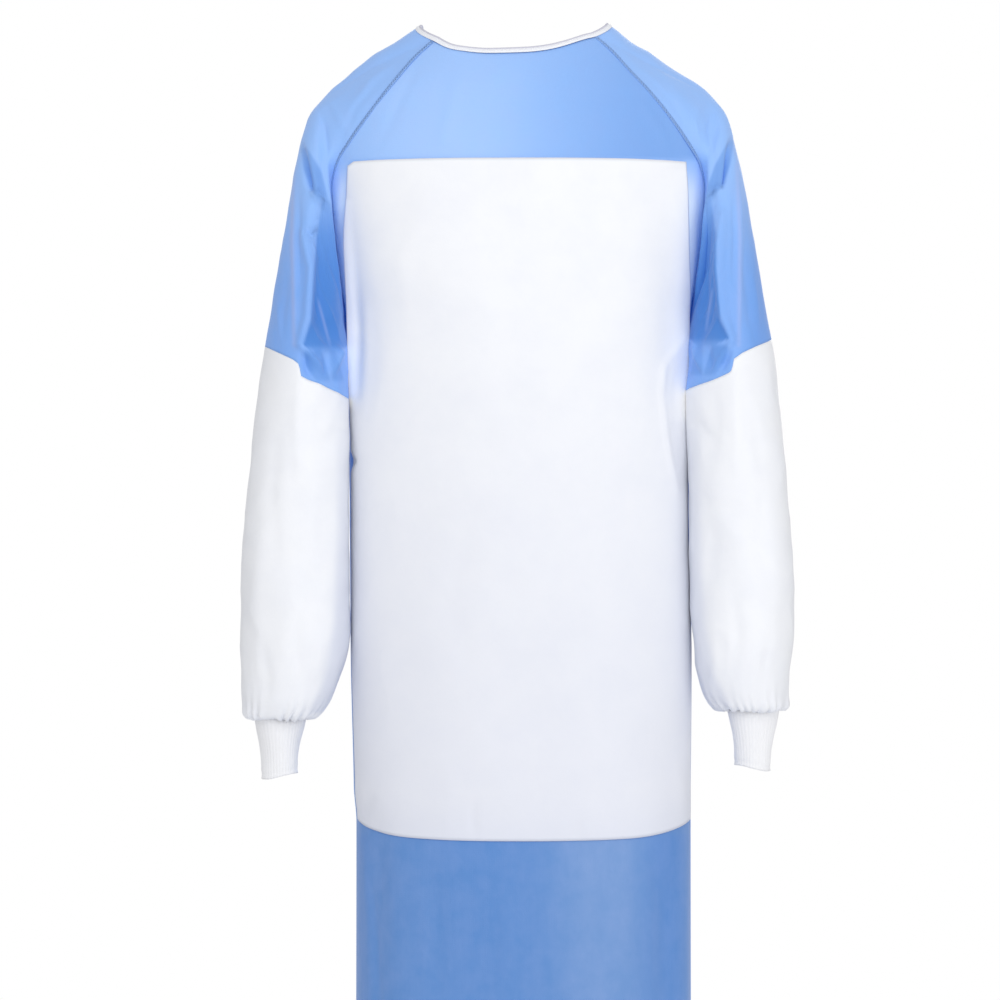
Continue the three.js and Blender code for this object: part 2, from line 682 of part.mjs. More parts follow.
// Sews the body and the sleeves together along the raglan and side seams
function sewBody() {
  const lastColumn = front.points[0].length - 1;
  const rowsBetween = (first, last) => BODY_ROWS.map((_, row) => row).slice(first, last);
  for (const side of [1, -1]) {
    const sleeve = side > 0 ? sleeves.right : sleeves.left;
    const back = side > 0 ? backs.right : backs.left;
    const frontColumn = side > 0 ? lastColumn : 0;
    const frontEdge = (rows) => rows.map((row) => ({ row, column: frontColumn, step: [0, -side] }));
    const backEdge = (rows) => rows.map((row) => ({ row, column: 0, step: [0, 1] }));
    const sleeveEdge = (rows, turn) =>
      rows.map((row) => ({
        row: 0,
        column: THREE.MathUtils.euclideanModulo(turn * (NECK_COLUMNS + row), SLEEVE_COLUMNS),
        step: [1, 0],
      }));
    const raglanRows = rowsBetween(0, SEAM_COLUMNS);
    const sideRows = rowsBetween(SEAM_COLUMNS + 1, BODY_ROWS.length);
    joinSeam(front, frontEdge(raglanRows), sleeve, sleeveEdge(raglanRows, 1));
    joinSeam(back, backEdge(raglanRows), sleeve, sleeveEdge(raglanRows, -1));
    joinSeam(front, frontEdge(sideRows), back, backEdge(sideRows));
    sewUnderarm(side, front, frontColumn, back, sleeve);
  }
}

// Three pieces meet under the arm, where their walls all point down
function sewUnderarm(side, frontPiece, frontColumn, back, sleeve) {
  const corners = [
    { cloth: frontPiece, row: SEAM_COLUMNS, column: frontColumn, shift: [0, -1, 0] },
    { cloth: back, row: SEAM_COLUMNS, column: 0, shift: [0, 1, 0] },
    { cloth: sleeve, row: 0, column: HALF_SLEEVE, shift: [side, 0, -1] },
  ];
  for (const { cloth, row, column, shift } of corners) {
    cloth.normals[row][column].set(0, 0, -1);
    cloth.points[row][column].addScaledVector(new THREE.Vector3(...shift), SEAM_GAP * UNDERARM_SHARE);
  }
}

function addNode(name, geometry, colour) {
  const mesh = new THREE.Mesh(geometry, new THREE.MeshStandardMaterial(COLOURS[colour]));
  mesh.name = name;
  group.add(mesh);
}

const group = new THREE.Group();
const front = frontCloth();
const backs = { right: backCloth(1, 0), left: backCloth(-1, OVERLAP_LIFT) };
const sleeves = { right: sleeveCloth(1), left: sleeveCloth(-1) };
sewBody();

const panelRows = [BODY_ROWS.indexOf(PANEL_TOP), BODY_ROWS.indexOf(PANEL_FOOT)];
const panelColumns = [EDGE_COLUMNS, EDGE_COLUMNS + PANEL_COLUMNS];
const backEnd = BACK_COLUMNS + OVERLAP_COLUMNS - 1;

addNode("front", clothGeometry(front), "blue");
addNode("front_panel", overlayGeometry(front, panelRows, panelColumns, PANEL_WALL), "white");
for (const side of [1, -1]) {
  const hand = side > 0 ? "right" : "left";
  addNode(`back_${hand}`, clothGeometry(backs[hand]), "blue");
  addNode(`sleeve_${hand}`, clothGeometry(sleeves[hand]), "blue");
  addNode(`forearm_${hand}`, clothGeometry(forearmCloth(side)), "white");
  addNode(`cuff_${hand}`, cuffGeometry(side), "knit");
  addNode(`tie_${hand}`, tieGeometry(side), "blue");
}
addNode("neck_binding", bindingGeometry(), "binding");
const tabRows = [TAB_FIRST_ROW, TAB_LAST_ROW];
addNode("neck_tab", overlayGeometry(backs.left, tabRows, [backEnd - TAB_COLUMNS, backEnd], TAB_WALL), "white");
addNode("tie_knot", knotGeometry(), "blue");
for (const tail of TAILS) addNode(tail.name, tailGeometry(tail), "blue");

export default group;
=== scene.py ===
"""A surgical gown in its worn form: thin cloth over its solids, with creases, seams and stitches."""

import math

import bmesh
import bpy
import numpy as np
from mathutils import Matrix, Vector


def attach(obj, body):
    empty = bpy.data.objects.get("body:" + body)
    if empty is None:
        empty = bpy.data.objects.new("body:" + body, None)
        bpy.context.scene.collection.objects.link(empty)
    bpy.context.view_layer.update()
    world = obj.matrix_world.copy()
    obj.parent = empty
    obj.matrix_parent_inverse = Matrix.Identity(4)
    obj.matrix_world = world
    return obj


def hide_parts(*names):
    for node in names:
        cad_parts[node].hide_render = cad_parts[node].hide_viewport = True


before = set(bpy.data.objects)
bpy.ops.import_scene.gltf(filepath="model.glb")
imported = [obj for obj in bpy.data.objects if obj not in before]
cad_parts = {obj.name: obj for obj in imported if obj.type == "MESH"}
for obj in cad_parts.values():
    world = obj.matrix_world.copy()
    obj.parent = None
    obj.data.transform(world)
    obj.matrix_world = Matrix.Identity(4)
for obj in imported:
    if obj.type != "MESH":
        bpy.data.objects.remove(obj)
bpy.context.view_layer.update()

# Sizes are in metres. Heights are measured down from the origin, where the shoulders hold the gown.
MM = 0.001
SHELL = 0.0008
UNDERARM = -0.330
PANEL_TOP = -0.163
PANEL_FOOT = -0.900
HEM = -1.230
NECK_EDGE = -0.026
NECK_END = -0.006
WAIST_TIE = -0.492
FLOOR = -1.46
SIDES = ((1, "right"), (-1, "left"))


def table(columns, *rows):
    """A short table with named columns, as arrays."""
    values = np.array(rows, dtype=float)
    return {name: values[:, i] for i, name in enumerate(columns.split())}


# The body's closed section at each height, and how far its middle lies towards +X
BODY_SECTIONS = table(
    "height half_width front back middle",
    (0.000, 0.103, 0.050, 0.056, 0),
    (-0.040, 0.163, 0.072, 0.084, 0),
    (-0.088, 0.227, 0.092, 0.103, 0),
    (-0.140, 0.225, 0.106, 0.113, 0),
    (-0.190, 0.217, 0.113, 0.117, 0),
    (-0.240, 0.209, 0.117, 0.118, 0),
    (-0.290, 0.2015, 0.119, 0.115, 0),
    (UNDERARM, 0.1945, 0.119, 0.112, 0),
    (WAIST_TIE, 0.192, 0.117, 0.103, 0.002),
    (-0.700, 0.192, 0.121, 0.113, 0.0035),
    (PANEL_FOOT, 0.1895, 0.125, 0.120, 0.005),
    (HEM, 0.190, 0.133, 0.129, 0.005),
)
SECTION_POWER = 0.84

# The raglan seams, sideways from the body's middle
RAGLAN_SEAM = table(
    "height front back",
    (NECK_EDGE, 0.094, 0.087),
    (-0.045, 0.114, 0.105),
    (-0.070, 0.134, 0.125),
    (-0.100, 0.157, 0.149),
    (-0.140, 0.187, 0.180),
    (-0.165, 0.203, 0.196),
    (-0.190, 0.209, 0.204),
    (-0.240, 0.206, 0.204),
    (-0.290, 0.1995, 0.199),
    (UNDERARM, 0.1945, 0.1945),
)

FRONT_NECK = table(
    "across height",
    (-0.094, NECK_EDGE),
    (-0.062, -0.037),
    (-0.028, -0.040),
    (0.005, -0.039),
    (0.045, -0.034),
    (0.094, NECK_EDGE),
)
BACK_NECK_SINK = 0.008

PANEL_EDGE = table(
    "height left right",
    (PANEL_TOP, 0.1885, 0.1855),
    (-0.200, 0.191, 0.188),
    (-0.240, 0.194, 0.1885),
    (UNDERARM, 0.1915, 0.1905),
    (WAIST_TIE, 0.1885, 0.1880),
    (-0.560, 0.1885, 0.1862),
    (-0.640, 0.1885, 0.1868),
    (-0.700, 0.1885, 0.1885),
    (PANEL_FOOT, 0.186, 0.187),
    (HEM, 0.186, 0.186),
)
PANEL_SHARE = 9 / 11
PANEL_FOOT_SAG = 0.008
PANEL_FOOT_REACH = 0.090

# Rows of the body: heights along the raglan seam with their turns round the armhole, then down to the hem
SEAM_ROWS = table(
    "height turn",
    (NECK_EDGE, 16),
    (-0.045, 23),
    (-0.068, 31),
    (-0.091, 38),
    (-0.115, 47),
    (-0.139, 58),
    (PANEL_TOP, 70),
    (-0.190, 84),
    (-0.216, 98),
    (-0.245, 112),
    (-0.275, 128),
    (-0.303, 148),
    (UNDERARM, 180),
)
NECK_TURNS = (0, 8)
NECK_COLUMNS = len(NECK_TURNS)
SEAM_COLUMNS = len(SEAM_ROWS["height"]) - 1
HALF_SLEEVE = NECK_COLUMNS + SEAM_COLUMNS
RAGLAN_ROWS = 73
BODY_ROWS = 190

# Soft drape folds down the body: degrees round from the front's middle, spread, lift, and where each starts
BODY_FOLDS = table(
    "angle spread lift start full",
    (-57, 7, -0.003, -0.860, -0.960),
    (27, 12, 0.005, -0.880, -1.040),
    (57, 9, -0.004, -0.870, -1.000),
    (-20, 16, -0.004, -0.920, -1.120),
    (108, 8, 0.003, -0.520, -0.760),
    (124, 8, -0.006, -0.500, -0.700),
    (141, 9, 0.007, -0.510, -0.820),
    (160, 8, -0.006, -0.500, -0.740),
    (-111, 9, 0.003, -0.520, -0.800),
    (-130, 9, -0.007, -0.500, -0.720),
    (-150, 10, 0.006, -0.515, -0.780),
)
OVERLAP_ANGLE = 22
BACK_END = 4 / 3
OVERLAP_MARGIN = 3
OVERLAP_LIFT = 0.005

# The sleeve's rings below the cap, for the side at +X, and how far forward each hangs
# A power over 1 draws a ring towards a diamond, and gather is how far the hem's ruffles stand out and in
SLEEVE_RINGS = table(
    "out_across out_height in_across in_height depth forward power gather",
    (0.218, -0.082, 0.1950, -0.334, 0.066, 0.003, 1.0, 0),
    (0.2315, -0.099, 0.1947, -0.3365, 0.066, 0.008, 1.0, 0),
    (0.239, -0.119, 0.1939, -0.340, 0.066, 0.014, 1.0, 0),
    (0.2465, -0.149, 0.1924, -0.346, 0.065, 0.020, 1.03, 0),
    (0.2547, -0.198, 0.1913, -0.354, 0.063, 0.030, 1.12, 0),
    (0.2639, -0.249, 0.1902, -0.367, 0.061, 0.038, 1.22, 0),
    (0.2733, -0.304, 0.1897, -0.388, 0.060, 0.044, 1.24, 0),
    (0.282, -0.358, 0.1892, -0.415, 0.059, 0.046, 1.16, 0),
    (0.2928, -0.440, 0.1903, -0.490, 0.060, 0.047, 1.02, 0),
    (0.3017, -0.515, 0.1911, -0.558, 0.061, 0.047, 1.0, 0),
    (0.3081, -0.597, 0.1913, -0.632, 0.061, 0.047, 1.0, 0),
    (0.3095, -0.673, 0.1915, -0.691, 0.060, 0.046, 1.0, 0),
    (0.3068, -0.725, 0.1995, -0.731, 0.057, 0.045, 1.0, 0.0),
    (0.3050, -0.754, 0.2105, -0.756, 0.051, 0.044, 1.0, 0.0009),
    (0.3025, -0.766, 0.2225, -0.767, 0.042, 0.044, 1.0, 0.0030),
    (0.2925, -0.7690, 0.2315, -0.7700, 0.0305, 0.044, 1.0, 0.0020),
)
COLOUR_RING = 7
CAP_RINGS = 3
CAP_BULGE = 0.005
SHOULDER_NORMAL = (0.58, 0.81)
LEFT_DROP = 0.009
DROP_START = -0.150
DROP_END = -0.380
SHIFT_START = -0.690
SHIFT_END = -0.750
GATHERS = 23
FRILL = 0.0042
FRILL_GATHER = 0.0026
FRILL_LAG = 3
CUFF_SHIFT = -0.002

# The right sleeve is slimmer at its outer side and closer to the body, over these depths below the origin
RIGHT_SLIM = 0.0028
SLIM_SPAN = (0.40, 0.50)
RIGHT_CLOSE = 0.0036
CLOSE_WINDOW = (0.36, 0.44, 0.63, 0.69)

# How far the worn cloth settles at the neck and the skirt, and where across the gown it does
NECK_SHIFT = -0.0095
SHIFT_WINDOW = (0.03, 0.09, 0.19, 0.24)
SHIFT_HEIGHT = (-0.11, -0.01)
TIP_LIFT = 0.003
TIP_WINDOW = (0.06, 0.09, 0.12, 0.16)
TIP_HEIGHT = (-0.035, 0.0)
NECK_DROP = 0.0022
DROP_SPAN = (0.03, 0.095)
NECK_LIFT = 0.0042
LIFT_WINDOW = (0.01, 0.105, 0.11, 0.14)
NECKLINE_HEIGHT = (-0.075, -0.03)
NECKLINE_FRONT = (0.0, 0.03)
SKIRT_SLIM = 0.0026
SKIRT_DOWN = (0.86, 0.90)
SKIRT_LEFT = (0.05, 0.19)

CUFF_SECTIONS = table(
    "below half_width half_depth",
    (0.000, 0.029, 0.0275),
    (0.014, 0.026, 0.026),
    (0.032, 0.0215, 0.0235),
    (0.050, 0.019, 0.022),
    (0.066, 0.0185, 0.0215),
)
CUFF_TOP = -0.769
CUFF_ACROSS = 0.2636
CUFF_FORWARD = 0.044

# The camera: its distance, its height and how much of the gown it takes in at the gown's middle plane
CAMERA_DISTANCE = 3.3
CAMERA_HEIGHT = -0.537
CAMERA_ACROSS = -0.0203
VIEW_SIZE = 1.13


def blend(t, first, last, first_rise, last_rise):
    """A smooth step from one value to the next, which leaves and arrives at the given rises."""
    square, cube = t * t, t * t * t
    start = (2 * cube - 3 * square + 1) * first + (cube - 2 * square + t) * first_rise
    end = (3 * square - 2 * cube) * last + (cube - square) * last_rise
    return start + end


def curve(rows, key, column):
    """A smooth curve through a table's rows that never swings past them."""
    order = np.argsort(rows[key])
    at = rows[key][order]
    value = rows[column][order]
    rises = np.diff(value) / np.diff(at)
    slopes = np.concatenate([rises[:1], np.zeros(len(rises) - 1), rises[-1:]])
    before, after = rises[:-1], rises[1:]
    same_way = before * after > 0
    total = np.where(same_way, before + after, 1.0)
    slopes[1:-1] = np.where(same_way, 2 * before * after / total, 0.0)

    def read(x):
        x = np.clip(np.asarray(x, dtype=float), at[0], at[-1])
        i = np.clip(np.searchsorted(at, x, side="right") - 1, 0, len(at) - 2)
        span = at[i + 1] - at[i]
        return blend((x - at[i]) / span, value[i], value[i + 1], span * slopes[i], span * slopes[i + 1])

    return read


def smoothstep(x, low, high):
    t = np.clip((np.asarray(x, dtype=float) - low) / (high - low), 0, 1)
    return t * t * (3 - 2 * t)


def window(x, low, low_full, high_full, high):
    """1 between the two full places, fading to 0 at the outer ones."""
    return smoothstep(x, low, low_full) * (1 - smoothstep(x, high_full, high))


def mix(a, b, t):
    return a + (b - a) * t


half_width_at = curve(BODY_SECTIONS, "height", "half_width")
front_depth_at = curve(BODY_SECTIONS, "height", "front")
back_depth_at = curve(BODY_SECTIONS, "height", "back")
seam_at = {face: curve(RAGLAN_SEAM, "height", face) for face in ("front", "back")}
front_neck_at = curve(FRONT_NECK, "across", "height")
middle_at = curve(BODY_SECTIONS, "height", "middle")
seam_row_height = curve({"row": np.arange(SEAM_COLUMNS + 1), **SEAM_ROWS}, "row", "height")
ARMHOLE_TURNS = np.concatenate([NECK_TURNS, SEAM_ROWS["turn"]])
armhole_turn = curve({"row": np.arange(len(ARMHOLE_TURNS)), "turn": ARMHOLE_TURNS}, "row", "turn")
panel_edge_at = {side: curve(PANEL_EDGE, "height", side) for side in ("left", "right")}


def fold_lift(angle, height):
    """How far the drape folds push the body's surface out."""
    lift = np.zeros(np.broadcast(angle, height).shape)
    for i in range(len(BODY_FOLDS["angle"])):
        offset = (angle - BODY_FOLDS["angle"][i] + 180) % 360 - 180
        nearness = np.exp(-((offset / BODY_FOLDS["spread"][i]) ** 2))
        growth = smoothstep(-height, -BODY_FOLDS["start"][i], -BODY_FOLDS["full"][i])
        lift = lift + BODY_FOLDS["lift"][i] * growth * nearness
    return lift


def body_point(angle, height, lift=0.0):
    """Points of the body's outer face, at degrees round from the front's middle towards +X."""
    angle, height = np.broadcast_arrays(np.asarray(angle, float), np.asarray(height, float))
    sine, cosine = np.sin(np.radians(angle)), np.cos(np.radians(angle))
    depth = np.where(cosine > 0, front_depth_at(height), back_depth_at(height))
    x = half_width_at(height) * np.sign(sine) * np.abs(sine) ** SECTION_POWER
    y = -depth * np.sign(cosine) * np.abs(cosine) ** SECTION_POWER
    out = (lift + fold_lift(angle, height)) / np.hypot(x, y)
    return np.stack([x * (1 + out) + middle_at(height), y * (1 + out), height], axis=-1)


def angle_to(across, height):
    """Degrees round the body to a place that lies sideways from its middle."""
    share = np.minimum(1, across / half_width_at(height))
    return np.degrees(np.arcsin(share ** (1 / SECTION_POWER)))


def seam_angle(face, height):
    angle = angle_to(seam_at[face](height), height)
    angle = angle if face == "front" else 180 - angle
    return np.where(np.asarray(height) <= UNDERARM, 90.0, angle)


def panel_angle(height, side):
    below = np.minimum(height, PANEL_TOP)
    angle = angle_to(panel_edge_at[side](below), below)
    above = angle * seam_angle("front", height) / seam_angle("front", PANEL_TOP)
    return np.where(np.asarray(height) > PANEL_TOP, above, angle)


def neck_fade(height):
    return np.clip((height - PANEL_TOP) / (NECK_EDGE - PANEL_TOP), 0, 1)


def front_points(heights, shares):
    """The front's face; a share of 1 is the seam, and PANEL_SHARE is the panel's side edge."""
    height, share = np.meshgrid(heights, shares, indexing="ij")
    panel = np.where(share < 0, panel_angle(height, "left"), panel_angle(height, "right"))
    edge = seam_angle("front", height)
    part = np.abs(share)
    inside = part / PANEL_SHARE * panel
    beyond = panel + (part - PANEL_SHARE) / (1 - PANEL_SHARE) * (edge - panel)
    angle = np.sign(share) * np.where(part <= PANEL_SHARE, inside, beyond)
    across = body_point(angle, height)[..., 0]
    foot_fade = np.maximum(0, 1 - np.abs(height - PANEL_FOOT) / PANEL_FOOT_REACH)
    neck_dip = (front_neck_at(across) - NECK_EDGE) * neck_fade(height)
    foot_dip = -PANEL_FOOT_SAG * (1 - part**2) * smoothstep(foot_fade, 0, 1)
    return body_point(angle, height + neck_dip + foot_dip)


def back_points(heights, shares, side, middle_lift):
    """A back's face: share 0 is its side seam, 1 the centre back, and the rest laps past it."""
    height, share = np.meshgrid(heights, shares, indexing="ij")
    edge = seam_angle("back", height)
    inside = np.minimum(1, share)
    angle = edge + (180 - edge) * inside + OVERLAP_ANGLE * np.maximum(0, share - 1) * 3
    sink = BACK_NECK_SINK * neck_fade(height) * np.sin(math.pi / 2 * inside)
    start = 180 - OVERLAP_ANGLE - OVERLAP_MARGIN
    ramp = np.clip((angle - edge) / np.maximum(start - edge, 1), 0, 1)
    lift = middle_lift * smoothstep(ramp, 0, 1)
    return body_point(side * angle, height - sink, lift)


def seam_line(face, side, columns):
    """The sleeve's seam with the body, by column: over the neck's end, then down to the underarm."""
    columns = np.asarray(columns, float)
    share = np.clip(columns / NECK_COLUMNS, 0, 1)
    over_neck = mix(NECK_END, NECK_EDGE, share**1.4)
    height = np.where(columns < NECK_COLUMNS, over_neck, seam_row_height(columns - NECK_COLUMNS))
    neck_angle = mix(90, seam_angle(face, NECK_EDGE), share)
    angle = np.where(columns < NECK_COLUMNS, neck_angle, seam_angle(face, height))
    return body_point(side * angle, height)


def turn_at(columns, evenness):
    """How far round the armhole a seam column lands, evening out down the sleeve."""
    return mix(armhole_turn(columns), columns * 180 / HALF_SLEEVE, evenness)


def sleeve_drop(side, height):
    return 0 * height if side > 0 else LEFT_DROP * smoothstep(-height, -DROP_START, -DROP_END)


def ruffles(degrees, side):
    """Uneven gathers round the sleeve's hem, from -1 to 1."""
    turn = np.radians(degrees)
    beat = GATHERS * turn + 1.9 * np.sin(3 * turn + side) + 1.2 * np.sin(7 * turn)
    return np.sin(beat) * (0.65 + 0.35 * np.sin(5 * turn + 2 * side))


def ring_points(ring, degrees, side):
    """Points of one of the sleeve's rings: 0 degrees is its outer line, 180 its inner line."""
    section = {name: column[ring] for name, column in SLEEVE_RINGS.items()}
    out_height = section["out_height"] - sleeve_drop(side, section["out_height"])
    in_height = section["in_height"] - sleeve_drop(side, section["in_height"])
    middle = (section["out_across"] + section["in_across"]) / 2
    gather = section["gather"] * ruffles(degrees, side)
    reach = (section["out_across"] - section["in_across"]) / 2 + gather
    cosine, sine = np.cos(np.radians(degrees)), np.sin(np.radians(degrees))
    along = np.sign(cosine) * np.abs(cosine) ** section["power"]
    deep = np.sign(sine) * np.abs(sine) ** section["power"]
    height = (out_height + in_height) / 2 + (out_height - in_height) / 2 * along
    near_cuff = smoothstep(-height, -SHIFT_START, -SHIFT_END)
    shift = middle_at(height) * (1 - near_cuff) * (1 - along) / 2
    slim = RIGHT_SLIM * smoothstep(-height, *SLIM_SPAN) * np.maximum(along, 0)
    slim = slim + RIGHT_CLOSE * window(-height, *CLOSE_WINDOW) * np.maximum(-along, 0)
    x = side * (middle + reach * along - slim * (side > 0)) + shift + CUFF_SHIFT * near_cuff
    frill = FRILL * section["gather"] / FRILL_GATHER
    height = height - frill * (0.5 - 0.5 * ruffles(degrees + FRILL_LAG, side))
    return np.stack([x, -section["forward"] - (section["depth"] + gather) * deep, height], axis=-1)


def sleeve_knots(side, columns):
    """The sleeve's rings, from the raglan seam to the gathered edge; columns run once round."""
    folded = np.minimum(columns, 2 * HALF_SLEEVE - columns)
    is_front = (columns <= HALF_SLEEVE)[:, None]
    loop = np.where(is_front, seam_line("front", side, folded), seam_line("back", side, folded))
    rings = []
    count = len(SLEEVE_RINGS["depth"])
    for ring in range(count):
        degrees = turn_at(folded, min(1, ring / COLOUR_RING))
        degrees = np.where(columns <= HALF_SLEEVE, degrees, -degrees)
        rings.append(ring_points(ring, degrees, side))
    cap = [loop]
    top_share = np.maximum(0, np.cos(np.radians(turn_at(folded, 0))))
    out = np.array([side * SHOULDER_NORMAL[0], 0, SHOULDER_NORMAL[1]])
    for k in range(1, CAP_RINGS):
        bulge = CAP_BULGE * math.sin(math.pi * k / CAP_RINGS) * top_share
        cap.append(mix(loop, rings[0], k / CAP_RINGS) + bulge[:, None] * out)
    return np.array(cap + rings)


def along_rings(knots, steps):
    """Points on a smooth curve through the rings, at steps that may be fractions."""
    steps = np.asarray(steps, float)
    i = np.clip(np.floor(steps).astype(int), 0, len(knots) - 2)
    t = (steps - i)[:, None, None]
    last = len(knots) - 1
    p0, p1 = knots[np.maximum(i - 1, 0)], knots[i]
    p2, p3 = knots[i + 1], knots[np.minimum(i + 2, last)]
    span_in = np.linalg.norm(p1 - p0, axis=-1, keepdims=True) + 1e-6
    span = np.linalg.norm(p2 - p1, axis=-1, keepdims=True) + 1e-6
    span_out = np.linalg.norm(p3 - p2, axis=-1, keepdims=True) + 1e-6
    m1 = span * ((p2 - p1) / span + (p1 - p0) / span_in) / 2
    m2 = span * ((p3 - p2) / span_out + (p2 - p1) / span) / 2
    return blend(t, p1, p2, m1, m2)


def grid_normals(points, closed):
    """Outward normals of a grid; a closed one joins its last column to its first."""
    if closed:
        along = np.roll(points, -1, axis=1) - np.roll(points, 1, axis=1)
    else:
        along = np.gradient(points, axis=1)
    down = np.gradient(points, axis=0)
    normals = np.cross(along, down)
    normals /= np.linalg.norm(normals, axis=-1, keepdims=True) + 1e-12
    middle = points.mean(axis=1, keepdims=True)
    outward = np.sum(normals * (points - middle))
    return normals if outward > 0 else -normals


def seen(points):
    """Where the camera sees points, as places in the gown's middle plane."""
    scale = CAMERA_DISTANCE / (CAMERA_DISTANCE + points[..., 1])
    across = CAMERA_ACROSS + (points[..., 0] - CAMERA_ACROSS) * scale
    return across, CAMERA_HEIGHT + (points[..., 2] - CAMERA_HEIGHT) * scale


def settled(points):
    """Points as the worn cloth settles: an uneven neck with raised tips, and a slimmer left skirt."""
    x, z = points[..., 0], points[..., 2]
    aside = np.abs(x)
    moved = points.copy()
    shoulder = smoothstep(z, *SHIFT_HEIGHT) * window(x, *SHIFT_WINDOW)
    skirt = smoothstep(-z, *SKIRT_DOWN) * smoothstep(-x, *SKIRT_LEFT)
    moved[..., 0] += NECK_SHIFT * shoulder + SKIRT_SLIM * skirt
    tip = window(aside, *TIP_WINDOW) * smoothstep(z, *TIP_HEIGHT)
    front = smoothstep(-points[..., 1], *NECKLINE_FRONT) * smoothstep(z, *NECKLINE_HEIGHT)
    dip = front * (1 - smoothstep(aside, *DROP_SPAN))
    rise = front * window(x, *LIFT_WINDOW)
    moved[..., 2] += TIP_LIFT * tip - NECK_DROP * dip + NECK_LIFT * rise
    return moved


def lines_field(points, lines):
    """Soft troughs and ridges along short lines drawn in the front view."""
    field = np.zeros(points.shape[:2])
    x, z = seen(points)
    for line in lines:
        path = np.array(line["path"])
        nearest = np.full(x.shape, 1e9)
        along = np.zeros(x.shape)
        lengths = np.linalg.norm(np.diff(path, axis=0), axis=1)
        total = lengths.sum()
        walked = 0.0
        for start, end, length in zip(path[:-1], path[1:], lengths):
            step = (end - start) / length
            reach = np.clip((x - start[0]) * step[0] + (z - start[1]) * step[1], 0, length)
            distance = np.hypot(x - start[0] - reach * step[0], z - start[1] - reach * step[1])
            closer = distance < nearest
            nearest = np.where(closer, distance, nearest)
            along = np.where(closer, (walked + reach) / total, along)
            walked += length
        taper = np.sin(math.pi * np.clip(along, 0.02, 0.98)) ** line["taper"]
        field += line["lift"] * taper * np.exp(-((nearest / line["width"]) ** 2))
    return field


def link(name, data):
    """A new object in the scene."""
    thing = bpy.data.objects.new(name, data)
    bpy.context.collection.objects.link(thing)
    return thing


def smooth_mesh(name, vertices, faces):
    mesh = bpy.data.meshes.new(name)
    mesh.from_pydata(vertices, [], faces)
    mesh.polygons.foreach_set("use_smooth", np.ones(len(faces), dtype=bool))
    return link(name, mesh)


def cloth_mesh(name, points, closed, attributes=None):
    """A quad mesh on a grid of points, with its point attributes."""
    points = settled(points)
    rows, columns = points.shape[:2]
    index = np.arange(rows * columns).reshape(rows, columns)
    right = np.roll(index, -1, axis=1) if closed else index[:, 1:]
    left = index if closed else index[:, :-1]
    quads = np.stack([left[:-1], left[1:], right[1:], right[:-1]], axis=-1).reshape(-1, 4)
    normals = grid_normals(points, closed)
    corner = quads[len(quads) // 2]
    flat = points.reshape(-1, 3)
    facing = np.cross(flat[corner[1]] - flat[corner[0]], flat[corner[3]] - flat[corner[0]])
    if facing @ normals.reshape(-1, 3)[corner[0]] < 0:
        quads = quads[:, ::-1]
    piece = smooth_mesh(name, flat.tolist(), quads.tolist())
    for key, values in (attributes or {}).items():
        layer = piece.data.attributes.new(key, "FLOAT", "POINT")
        layer.data.foreach_set("value", np.asarray(values, dtype=np.float32).ravel())
    return piece


def thicken(piece, thickness):
    """Gives a sheet its wall, inwards from its face."""
    wall = piece.modifiers.new("wall", "SOLIDIFY")
    wall.thickness = thickness
    wall.offset = -1
    wall.use_even_offset = False
    bpy.ops.object.select_all(action="DESELECT")
    piece.select_set(True)
    bpy.context.view_layer.objects.active = piece
    bpy.ops.object.modifier_apply(modifier=wall.name)


def spread(*stops):
    """Evenly spaced values through stops given as (value, count to the next stop)."""
    values = [np.linspace(a[0], b[0], a[1], endpoint=False) for a, b in zip(stops[:-1], stops[1:])]
    return np.concatenate(values + [np.array([stops[-1][0]])])


class Socket:
    """One output of a node, with arithmetic that adds Math nodes."""

    def __init__(self, shader, output):
        self.shader = shader
        self.output = output

    def math(self, operation, *values):
        return self.shader.node("ShaderNodeMath", {"operation": operation}, dict(enumerate(values)))

    def __add__(self, other):
        return self.math("ADD", self, other)

    def __sub__(self, other):
        return self.math("SUBTRACT", self, other)

    def __mul__(self, other):
        return self.math("MULTIPLY", self, other)

    __radd__ = __add__
    __rmul__ = __mul__

    def clamped(self):
        return self.shader.node("ShaderNodeClamp", {}, {0: self})


